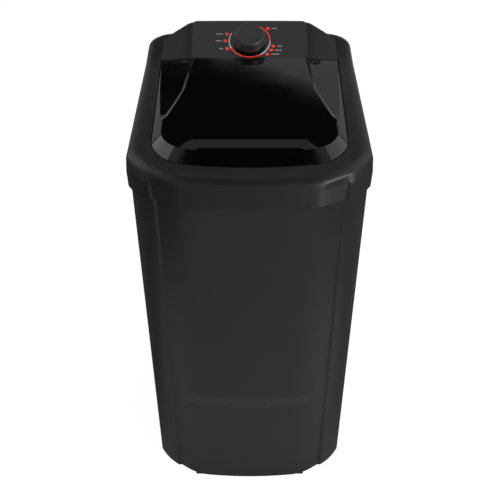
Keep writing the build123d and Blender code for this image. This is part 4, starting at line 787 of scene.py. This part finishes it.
def frame_rows():
    """Rows of the top frame from the skirt's edge over the bulge and the soft rim into the lid's opening."""
    plans = [
        (frame_plan(*BULGE_PLAN, grooved), frame_plan(*CROWN_PLAN, grooved)) for grooved in (True, False)
    ]
    opening = lift(outline(OPENING, [OPENING_SAG, 0, 0, 0, 0, FRONT_BOW], [12, 8, 3, 6, 6, 14]), rim_height)
    rim, roll_start, waist = [], [], []
    for i, inner in enumerate(opening):
        z = rim_height(inner)
        # The wall leans in as it rises and the rim slopes, so eight rounds settle where the two meet
        for _ in range(8):
            z = rim_height(frame_wall(plans, i, z, 1))
        start_z = z - ROLL_DROP
        rim.append(frame_wall(plans, i, z, 1))
        roll_start.append(frame_wall(plans, i, start_z, ROLL_FADE))
        waist.append(frame_wall(plans, i, BULGE_Z + (start_z - BULGE_Z) * WAIST_SHARE, WAIST_FADE))
    roll_end = mix(opening, rim, ROLL_END)
    rows = [lift(frame_plan(*SKIRT_PLAN, True), SKIRT_Z), lift(plans[0][0], BULGE_Z), waist, roll_start]
    for share in (0.2, 0.4, 0.6, 0.8, 1.0):
        rows.append([
            a * (1 - share) ** 2 + b * 2 * share * (1 - share) + c * share ** 2
            for a, b, c in zip(roll_start, rim, roll_end)
        ])
    rows.append(mix(opening, rim, OPENING_EASE))
    rows.append([p - Vector((0, 0, OPENING_DROP)) for p in opening])
    rows.append([Vector((p.x, p.y, p.z - WELL_DEPTH if p.y <= SEAT_Y else DECK_REAR_Z)) for p in opening])
    return rows


def knuckle(shape, x, width, radius, foot):
    """Post with a rounded eye for a hinge pin, in the lid's own plane."""
    made = block(shape, (x - width / 2, HINGE_Y - radius, foot), (x + width / 2, HINGE_Y + radius, HINGE_Z))
    turn = Matrix.Translation(Vector((x, HINGE_Y, HINGE_Z)) * MM) @ Matrix.Rotation(math.pi / 2, 4, "Y")
    made += bmesh.ops.create_cone(
        shape, cap_ends=True, segments=32, radius1=radius * MM, radius2=radius * MM,
        depth=width * MM, matrix=turn,
    )["verts"]
    bmesh.ops.transform(shape, matrix=lid_place, verts=made)


def top_frame_shell():
    """Rim, skirt and bulge with a soft roll, the lid's well, its deck, the collar of the mouth and the posts
    of the hinge."""
    shape = bmesh.new()
    swept(shape, frame_rows())
    deck = outline(OPENING[:3], [OPENING_SAG, 0, 0, FRONT_BOW], [12, 8, 12, 14])
    mouth = outline(MOUTH, [MOUTH_SAG, 0, MOUTH_SAG, 0, 0], [12, 8, 4, 4, 14])
    swept(shape, [lift(deck, deck_height), lift(mouth, deck_height), lift(mouth, MOUTH_FOOT)])
    for x in (-SCREW_X, SCREW_X):
        window(
            shape, (x - SCREW_HOLE, FRAME_BACK - 2, SCREW_Z - SCREW_HOLE),
            (x + SCREW_HOLE, FRAME_BACK + 2, SCREW_Z + SCREW_HOLE),
        )
    thicken(shape, FRAME_WALL)
    for vert in shape.verts:
        vert.co.y = min(vert.co.y, FRAME_BACK * MM)
    for x in (-HINGE_X, HINGE_X):
        knuckle(shape, x, POST_WIDTH, POST_RADIUS, -WELL_DEPTH)
    finish(shape, "top_frame_shell", "top_frame")


# Lid, in its own plane

# Stations from the seat line to the nose: distance, half width of the raised middle,
# height of the flank beside it and of the flank's outer line
LID_STATIONS = [
    (6, 146, 1.6, -0.6), (-76, 152, 3.2, 1.0), (-147, 159, 4.8, 2.8), (-199, 172, 6.6, 5.0),
    (-275, 194, 9.6, 8.8), (-340, 216, 12.4, 12.2), (-450, 216, 13.4, 13.0),
]
FLANK_REACH = 242
CREASE_WIDTH = 7
MIDDLE_RISE = 8
MIDDLE_SLOPE = 0.0155
LID_WALL = 2.6

# Right-hand corners of the lid's edge, and of the line where the bevel would be a full climb above its foot.
# The skirt under it starts a little lower than that foot
LID_REAR = -3
LID_EDGE = [(136, -422), (213, -335), (222, LID_REAR)]
BEVEL_LINE = [(123.5, -385), (188, -316.5), (197, LID_REAR)]
BEVEL_FOOT = -1
BEVEL_CLIMB = 17
SKIRT_TOP = -1.6
SKIRT_FOOT = -10

# Finger scoop: right-hand corners, rear sag and height of its floor and of the top of the tool that cuts it
SCOOP_FLOOR = [(141, -386), (111, -366)]
SCOOP_FLOOR_SAG = 19
SCOOP_FLOOR_Z = -1.5
SCOOP_TOP = [(153, -384), (128, -347)]
SCOOP_TOP_SAG = 21
SCOOP_TOP_Z = 24

# Round relief, which leaves a crescent in front of the knob
RELIEF_RADIUS = 42.5
RELIEF_Y = 22
RELIEF_FLOOR_Z = 1.5

# Notch round each post of the hinge, and a height and reach beyond the lid for what cuts it
NOTCH_HALF = 6
NOTCH_FRONT = -26
BEYOND_LID = 40


def station(y):
    """Half width of the raised middle and the flank's two heights at a distance from the seat line."""
    for near, far in zip(LID_STATIONS, LID_STATIONS[1:]):
        if y >= far[0]:
            share = (near[0] - y) / (near[0] - far[0])
            return [a + (b - a) * share for a, b in zip(near[1:], far[1:])]
    return LID_STATIONS[-1][1:]


def middle_height(y):
    """Height of the raised middle at a distance from the seat line."""
    return MIDDLE_RISE + MIDDLE_SLOPE * (LID_STATIONS[0][0] - y)


def lid_height(x, y):
    """Height of the lid's top: raised middle, crease and flank."""
    half, flank, edge = station(y)
    x = abs(x)
    if x <= half - CREASE_WIDTH:
        return middle_height(y)
    if x <= half:
        share = (half - x) / CREASE_WIDTH
        return flank + (middle_height(y) - flank) * share
    return flank + (edge - flank) * (x - half) / (FLANK_REACH - half)


def lid_rows():
    """Rows from the lid's lower edge up its bevel and over the flank to the raised middle, each from the
    left rear corner round the nose to the right rear corner."""
    sags, counts = [21, 0, 0, 10], [12, 16, 1, 16]
    turn = sum(counts[:3])
    edge, line = [outline(corners, sags, counts) for corners in (LID_EDGE, BEVEL_LINE)]
    edge, line = edge[turn:] + edge[:turn], line[turn:] + line[:turn]
    bevel, foot, crest = [], [], []
    for outer, inner in zip(edge, line):
        # The lid's top slopes, so twelve rounds settle where the bevel meets it
        share = 0.5
        for _ in range(12):
            point = outer.lerp(inner, share)
            share = (lid_height(point.x, point.y) - BEVEL_FOOT) / BEVEL_CLIMB
        point = outer.lerp(inner, share)
        bevel.append(Vector((point.x, point.y, BEVEL_FOOT + BEVEL_CLIMB * share)))
        half = station(point.y)[0]
        side = 1 if point.x > 0 else -1
        if abs(point.x) > half + 2 and point.y > LID_EDGE[1][1]:
            foot.append(Vector((side * half, point.y, lid_height(half, point.y))))
            crest.append(Vector((side * (half - CREASE_WIDTH), point.y, middle_height(point.y))))
        else:
            inwards = (inner - outer).normalized()
            for row, reach, drop in ((foot, 1.2, 0.25), (crest, 4, 0)):
                place = point + inwards * reach
                row.append(Vector((place.x, place.y, middle_height(place.y) - drop)))
    return [lift(edge, SKIRT_FOOT), lift(edge, SKIRT_TOP), bevel, foot, crest]


def scoop_cutter():
    """Tool that cuts the finger scoop, its rear wall curved and leaning back."""
    shape = bmesh.new()
    floor_row = lift(outline(SCOOP_FLOOR, [0, 0, SCOOP_FLOOR_SAG], [1, 1, 16]), SCOOP_FLOOR_Z)
    top_row = lift(outline(SCOOP_TOP, [0, 0, SCOOP_TOP_SAG], [1, 1, 16]), SCOOP_TOP_Z)
    solid(shape, [floor_row, top_row])
    return shape


def relief_cutter():
    """Tool that cuts the round relief."""
    shape = bmesh.new()
    middle = Vector((0, RELIEF_Y, RELIEF_FLOOR_Z + BEYOND_LID / 2)) * MM
    bmesh.ops.create_cone(
        shape, cap_ends=True, segments=96, radius1=RELIEF_RADIUS * MM, radius2=RELIEF_RADIUS * MM,
        depth=BEYOND_LID * MM, matrix=Matrix.Translation(middle),
    )
    return shape


def lid_shell():
    """Glossy lid: bevelled edge, raised middle between two creases, finger scoop, round relief and the cheeks
    that hold the hinge pins."""
    shape = bmesh.new()
    solid(shape, lid_rows())
    shape = carved(shape, [scoop_cutter(), relief_cutter()])
    soften(shape, 1.2, 24, 3)
    # A ring inside the raised middle keeps its broad face flat in the light
    level = Vector((0, MIDDLE_SLOPE, 1)).normalized()
    middle = [f for f in shape.faces if f.normal.angle(level) < 0.004 and f.calc_area() > 2e-5]
    bmesh.ops.inset_region(shape, faces=middle, thickness=2.5 * MM, use_even_offset=True)
    low = (SKIRT_FOOT + 0.1) * MM
    under = [f for f in shape.faces if f.normal.z < -0.99 and f.calc_center_median().z < low]
    bmesh.ops.delete(shape, geom=under, context="FACES")
    for x in (-HINGE_X, HINGE_X):
        window(shape, (x - NOTCH_HALF, NOTCH_FRONT, -BEYOND_LID), (x + NOTCH_HALF, BEYOND_LID, BEYOND_LID))
    thicken(shape, LID_WALL)
    bmesh.ops.transform(shape, matrix=lid_place, verts=shape.verts)
    for x in (-HINGE_X, HINGE_X):
        for offset in (-CHEEK_OFFSET, CHEEK_OFFSET):
            knuckle(shape, x + offset, CHEEK_WIDTH, CHEEK_RADIUS, CHEEK_FOOT)
    finish(shape, "lid_shell", "lid")


# Control panel

PANEL_FRONT = 190.3
PANEL_FOOT = 1002
FRONT_EDGE_Z = 1019
REAR_EDGE_Y = 297
REAR_EDGE_Z = 1081
REAR_BOW = 3
MIDDLE_HALF = 147
PANEL_WALL = 2.6
EDGE_ROUND = 2.2
REAR_EDGE_DROP = 0.8
FASCIA_SEAT = 0.9

# The wings: their length, and how far over it their edges fall and the rear one comes forward
WING_LENGTH = 75
WING_FRONT_FALL = 4.4
WING_REAR_FALL = 40
WING_REAR_SHIFT = 20.6

# Easing where a wing begins: its reach to both sides, and what it takes off the two edges
CREASE_REACH = 12
CREASE_FRONT_FALL = 0.3
CREASE_REAR_FALL = 3.0
CREASE_REAR_SHIFT = 1.2

# Distances from the panel's middle at which its section is taken, closer together where the wings begin
PANEL_STATIONS = [20, 45, 70, 95, 118, 130, 137, 141, 144, 147, 150, 153, 158, 168, 195, 222]


def panel_row(x):
    """Section of the panel at a distance from its middle: front foot, front edge, rear edge, rear foot. The
    wings fall from the middle, and the middle is sunk a little under the fascia."""
    reach = abs(x)
    fall = min(max((reach - MIDDLE_HALF) / WING_LENGTH, 0), 1)
    crease = max(0, 1 - abs(reach - MIDDLE_HALF) / CREASE_REACH)
    bow = REAR_BOW * max(0, 1 - (reach / MIDDLE_HALF) ** 2)
    sunk = FASCIA_SEAT * min(max((MIDDLE_HALF + 2 - reach) / 3, 0), 1)
    front_z = FRONT_EDGE_Z - WING_FRONT_FALL * fall - CREASE_FRONT_FALL * crease - sunk
    rear_y = REAR_EDGE_Y + bow - WING_REAR_SHIFT * fall - CREASE_REAR_SHIFT * crease
    rear_z = REAR_EDGE_Z - WING_REAR_FALL * fall - CREASE_REAR_FALL * crease - sunk
    return [
        Vector((x, PANEL_FRONT, PANEL_FOOT)),
        Vector((x, PANEL_FRONT, front_z - EDGE_ROUND)),
        Vector((x, PANEL_FRONT + EDGE_ROUND * 0.4, front_z)),
        Vector((x, rear_y - EDGE_ROUND, rear_z - REAR_EDGE_DROP)),
        Vector((x, rear_y, rear_z - EDGE_ROUND - REAR_EDGE_DROP)),
        Vector((x, rear_y, PANEL_FOOT)),
    ]


def panel_shell():
    """Panel body: flat middle between two wings that fall to the rim."""
    shape = bmesh.new()
    across = [-x for x in reversed(PANEL_STATIONS)] + [0] + PANEL_STATIONS
    rows = swept(shape, [panel_row(x) for x in across], closed=False)
    capped(shape, rows[0])
    capped(shape, rows[-1])
    thicken(shape, PANEL_WALL)
    finish(shape, "panel_shell", "control_panel")


# Dial on the panel's sloping face: fascia, printed marks and knob, all in its plane

DIAL_TILT = math.atan2(REAR_EDGE_Z - FRONT_EDGE_Z, REAR_EDGE_Y - SEAT_Y)
DIAL_MIDDLE = Vector((0, 238.02, 1046.83))
dial_place = Matrix.Translation(DIAL_MIDDLE * MM) @ Matrix.Rotation(DIAL_TILT, 4, "X")

# Right-hand corners of the fascia: front, rear, and end of its rounded rear corner
FASCIA_CORNERS = [(146, -54.5), (146, 55), (134.5, 66.5)]
FASCIA_THICKNESS = 1.5


def fascia_shell():
    """Glossy plate over the flat middle of the panel, its rear corners rounded."""
    shape = bmesh.new()
    plan = outline(FASCIA_CORNERS, [0, 3.4, 0.6, 0], [1, 8, 6, 1])
    solid(shape, [lift(plan, -FASCIA_THICKNESS), lift(plan, 0)])
    soften(shape, 0.5, 40)
    bmesh.ops.transform(shape, matrix=dial_place, verts=shape.verts)
    finish(shape, "fascia_shell", "panel_fascia")


# Printed marks beside the dots: the dot's turn round the dial, clockwise from its top, and the mark's length
MARKS = [(49, 13), (106, 13), (119, 18), (134, 20), (246, 11), (270, 13), (291, 17)]
DOT_RING = 62
MARK_GAP = 9.6
MARK_WIDTH = 1.3
INK_THICKNESS = 0.3


def marks_shell():
    """Short printed lines beside the dots, one for each programme."""
    shape = bmesh.new()
    for turn, length in MARKS:
        x, y = DOT_RING * math.sin(math.radians(turn)), DOT_RING * math.cos(math.radians(turn))
        side = 1 if x > 0 else -1
        start, end = sorted((x + side * MARK_GAP, x + side * (MARK_GAP + length)))
        block(shape, (start, y - MARK_WIDTH / 2, 0), (end, y + MARK_WIDTH / 2, INK_THICKNESS))
    bmesh.ops.transform(shape, matrix=dial_place, verts=shape.verts)
    finish(shape, "marks_shell", "dial_marks")


# Radius and height of the knob's turned profile, from its lower edge to the middle of its dished top
KNOB_PROFILE = [(40.2, 2), (41, 2.8), (41, 5), (38.6, 17), (36.8, 24.2), (35, 26), (30, 26), (0, 25.6)]
KNOB_TOP = 26

# Flats on both sides: directions in degrees, distance from the axis at the top, and how far they lean in
FLAT_TURNS = (35, 215)
FLAT_REACH = 33.6
FLAT_LEAN = math.radians(17)

# Crescent ridge on the top: its outer edge goes round in steps of so many degrees, and its inner edge has a
# share of the radius, moved aside most in its middle
RIDGE_RADIUS = 27
RIDGE_START = -95
RIDGE_STEP = 7.5
RIDGE_STEPS = 18
RIDGE_INNER_SHARE = 0.93
RIDGE_SHIFT = Vector((-1.4, 1.4, 0))
RIDGE_FOOT = 25.2
RIDGE_TOP = 26.9


def ridge_outline():
    """Crescent from its outer edge back along its inner edge."""
    outer, inner = [], []
    for i in range(RIDGE_STEPS + 1):
        angle = math.radians(RIDGE_START + RIDGE_STEP * i)
        point = Vector((RIDGE_RADIUS * math.cos(angle), RIDGE_RADIUS * math.sin(angle), 0))
        outer.append(point)
        inner.append(point * RIDGE_INNER_SHARE + RIDGE_SHIFT * math.sin(math.pi * i / RIDGE_STEPS))
    return outer + inner[::-1]


def knob_shell():
    """Big timer knob: turned body with a flat on each side, a shallow dish on top and a crescent ridge."""
    shape = bmesh.new()
    verts = [shape.verts.new(Vector((r, 0, z)) * MM) for r, z in KNOB_PROFILE]
    edges = [shape.edges.new(pair) for pair in zip(verts, verts[1:])]
    bmesh.ops.spin(
        shape, geom=verts + edges, axis=(0, 0, 1), cent=(0, 0, 0), angle=math.tau, steps=96, use_merge=True,
    )
    bmesh.ops.remove_doubles(shape, verts=shape.verts, dist=0.01 * MM)
    bmesh.ops.recalc_face_normals(shape, faces=shape.faces)
    for turn in FLAT_TURNS:
        aside = Vector((math.cos(math.radians(turn)), math.sin(math.radians(turn)), 0))
        cut = bmesh.ops.bisect_plane(
            shape, geom=shape.verts[:] + shape.edges[:] + shape.faces[:], dist=1e-6, clear_outer=True,
            plane_co=(aside * FLAT_REACH + Vector((0, 0, KNOB_TOP))) * MM,
            plane_no=aside * math.cos(FLAT_LEAN) + Vector((0, 0, math.sin(FLAT_LEAN))),
        )["geom_cut"]
        bmesh.ops.edgeloop_fill(shape, edges=[g for g in cut if isinstance(g, bmesh.types.BMEdge)])
    crescent = ridge_outline()
    solid(shape, [lift(crescent, RIDGE_FOOT), lift(crescent, RIDGE_TOP)])
    soften(shape, 0.8, 26, 3)
    bmesh.ops.transform(shape, matrix=dial_place, verts=shape.verts)
    bmesh.ops.recalc_face_normals(shape, faces=shape.faces)
    finish(shape, "knob_shell", "knob")


modelled = {
    "cabinet": cabinet_shell, "top_frame": top_frame_shell, "lid": lid_shell, "knob": knob_shell,
    "control_panel": panel_shell, "panel_fascia": fascia_shell, "dial_marks": marks_shell,
}
for node in cad:
    if node in modelled:
        modelled[node]()
    else:
        eased(node)


# Floor, world, lamps and camera, from here on in metres


def floor():
    """Pale studio floor: white to the camera, with the machine's soft contact shadow. What mirrors it sees it
    pale only in front of the machine."""
    shape = bmesh.new()
    bmesh.ops.create_grid(shape, x_segments=1, y_segments=1, size=6.0)
    material, tree, shader, place = surface("studio_floor_paper", {
        "Roughness": 0.9, "Specular IOR Level": 0.1, "Emission Color": (1, 1, 1, 1),
    })
    path = add(tree, "ShaderNodeLightPath")
    seen = path.outputs["Is Camera Ray"]
    mirrored = add(tree, "ShaderNodeMath", {
        0: path.outputs["Is Glossy Ray"], 1: path.outputs["Is Transmission Ray"],
    }, operation="MAXIMUM")

    # The sheen lies ahead of the machine and fades towards both sides
    east, north, _ = add(tree, "ShaderNodeSeparateXYZ", {0: place}).outputs
    aside = add(tree, "ShaderNodeMath", {0: east}, operation="ABSOLUTE")
    sheen = add(tree, "ShaderNodeMath", {0: mirrored, 1: 0.52}, operation="MULTIPLY")
    for distance, gone, full in ((north, -0.1, -0.45), (aside, 1.6, 0.7)):
        within = add(tree, "ShaderNodeMapRange", {
            "Value": distance, "From Min": gone, "From Max": full,
        }, interpolation_type="SMOOTHSTEP")
        sheen = add(tree, "ShaderNodeMath", {0: sheen, 1: within}, operation="MULTIPLY")
    glow = add(tree, "ShaderNodeMath", {0: seen, 1: 0.9, 2: sheen}, operation="MULTIPLY_ADD")
    tree.links.new(glow.outputs[0], shader.inputs["Emission Strength"])

    # Grey of 0.5 to light that bounces, 0.22 to what mirrors the floor and 0.3 to the camera
    bounce = add(tree, "ShaderNodeMath", {0: mirrored, 1: 0.22 - 0.5, 2: 0.5}, operation="MULTIPLY_ADD")
    tone = add(tree, "ShaderNodeMath", {0: seen, 1: 0.3 - 0.5, 2: bounce}, operation="MULTIPLY_ADD")
    tree.links.new(tone.outputs[0], shader.inputs["Base Color"])
    piece = meshed(shape, "studio_floor")
    piece.data.materials.append(material)


def studio_world():
    """Even studio surround, dark where the lid and the front of the rim mirror it: overhead, and above a
    slanting edge behind the machine."""
    world = bpy.data.worlds.new("studio")
    world.use_nodes = True
    tree = world.node_tree
    tree.nodes.clear()
    direction = add(tree, "ShaderNodeTexCoord").outputs["Generated"]
    x, y, z = add(tree, "ShaderNodeSeparateXYZ", {0: direction}).outputs
    aside = add(tree, "ShaderNodeMath", {0: x}, operation="ABSOLUTE")
    slant = add(tree, "ShaderNodeMath", {0: x, 1: -0.25, 2: z}, operation="MULTIPLY_ADD")
    edges = ((slant, 0.608, 0.63), (y, -0.42, -0.26), (z, 0.6, 0.78), (aside, 0.42, 0.16))
    above, behind, overhead, inside = [
        add(tree, "ShaderNodeMapRange", {
            "Value": value, "From Min": none, "From Max": full,
        }, interpolation_type="SMOOTHSTEP")
        for value, none, full in edges
    ]
    rear = add(tree, "ShaderNodeMath", {0: above, 1: behind}, operation="MULTIPLY")
    zone = add(tree, "ShaderNodeMath", {0: rear, 1: overhead}, operation="MAXIMUM")
    dark = add(tree, "ShaderNodeMath", {0: zone, 1: inside}, operation="MULTIPLY")
    even, left_in_dark = 0.45, 0.03
    strength = add(tree, "ShaderNodeMath", {
        0: dark, 1: even * (left_in_dark - 1), 2: even,
    }, operation="MULTIPLY_ADD")
    background = add(tree, "ShaderNodeBackground", {"Color": (1, 1, 1, 1), "Strength": strength})
    add(tree, "ShaderNodeOutputWorld", {"Surface": background})
    bpy.context.scene.world = world


def softbox(name, place, aim, size, watts, colour):
    """Rectangular area lamp turned towards a point."""
    lamp = bpy.data.lights.new(name, "AREA")
    lamp.shape = "RECTANGLE"
    lamp.size, lamp.size_y = size
    lamp.energy = watts
    lamp.color = linear(colour)[:3]
    piece = placed(name, lamp)
    piece.location = place
    piece.rotation_euler = (Vector(aim) - Vector(place)).to_track_quat("-Z", "Y").to_euler()


def camera():
    """Camera at standing eye height, 1.2 m in front of the machine and looking down at it by 35 degrees."""
    lens = bpy.data.cameras.new("camera")
    lens.lens = 50.0
    lens.sensor_width = 36.0
    lens.shift_x = 0.0008
    lens.clip_start = 0.05
    lens.clip_end = 60.0
    piece = placed("camera", lens)
    piece.location = (0.0, -1.5138, 1.6195)
    piece.rotation_euler = (math.radians(90 - 34.863), 0.0, 0.0)
    bpy.context.scene.camera = piece


floor()
studio_world()
softbox("key_right", (2.3, -2.0, 1.5), (0.0, 0.0, 0.6), (1.6, 1.6), 56.0, "#fffaf4")
softbox("overhead", (0.0, 0.56, 2.5), (0.0, 0.56, 1.0), (0.9, 0.4), 0.8, "#ffffff")
softbox("side_left", (-1.6, 0.3, 2.1), (0.0, 0.0, 0.95), (1.6, 1.6), 9.0, "#ffffff")
softbox("side_right", (1.6, 0.3, 2.1), (0.0, 0.0, 0.95), (1.6, 1.6), 6.0, "#ffffff")
camera()
bpy.context.scene.view_settings.view_transform = "Standard"
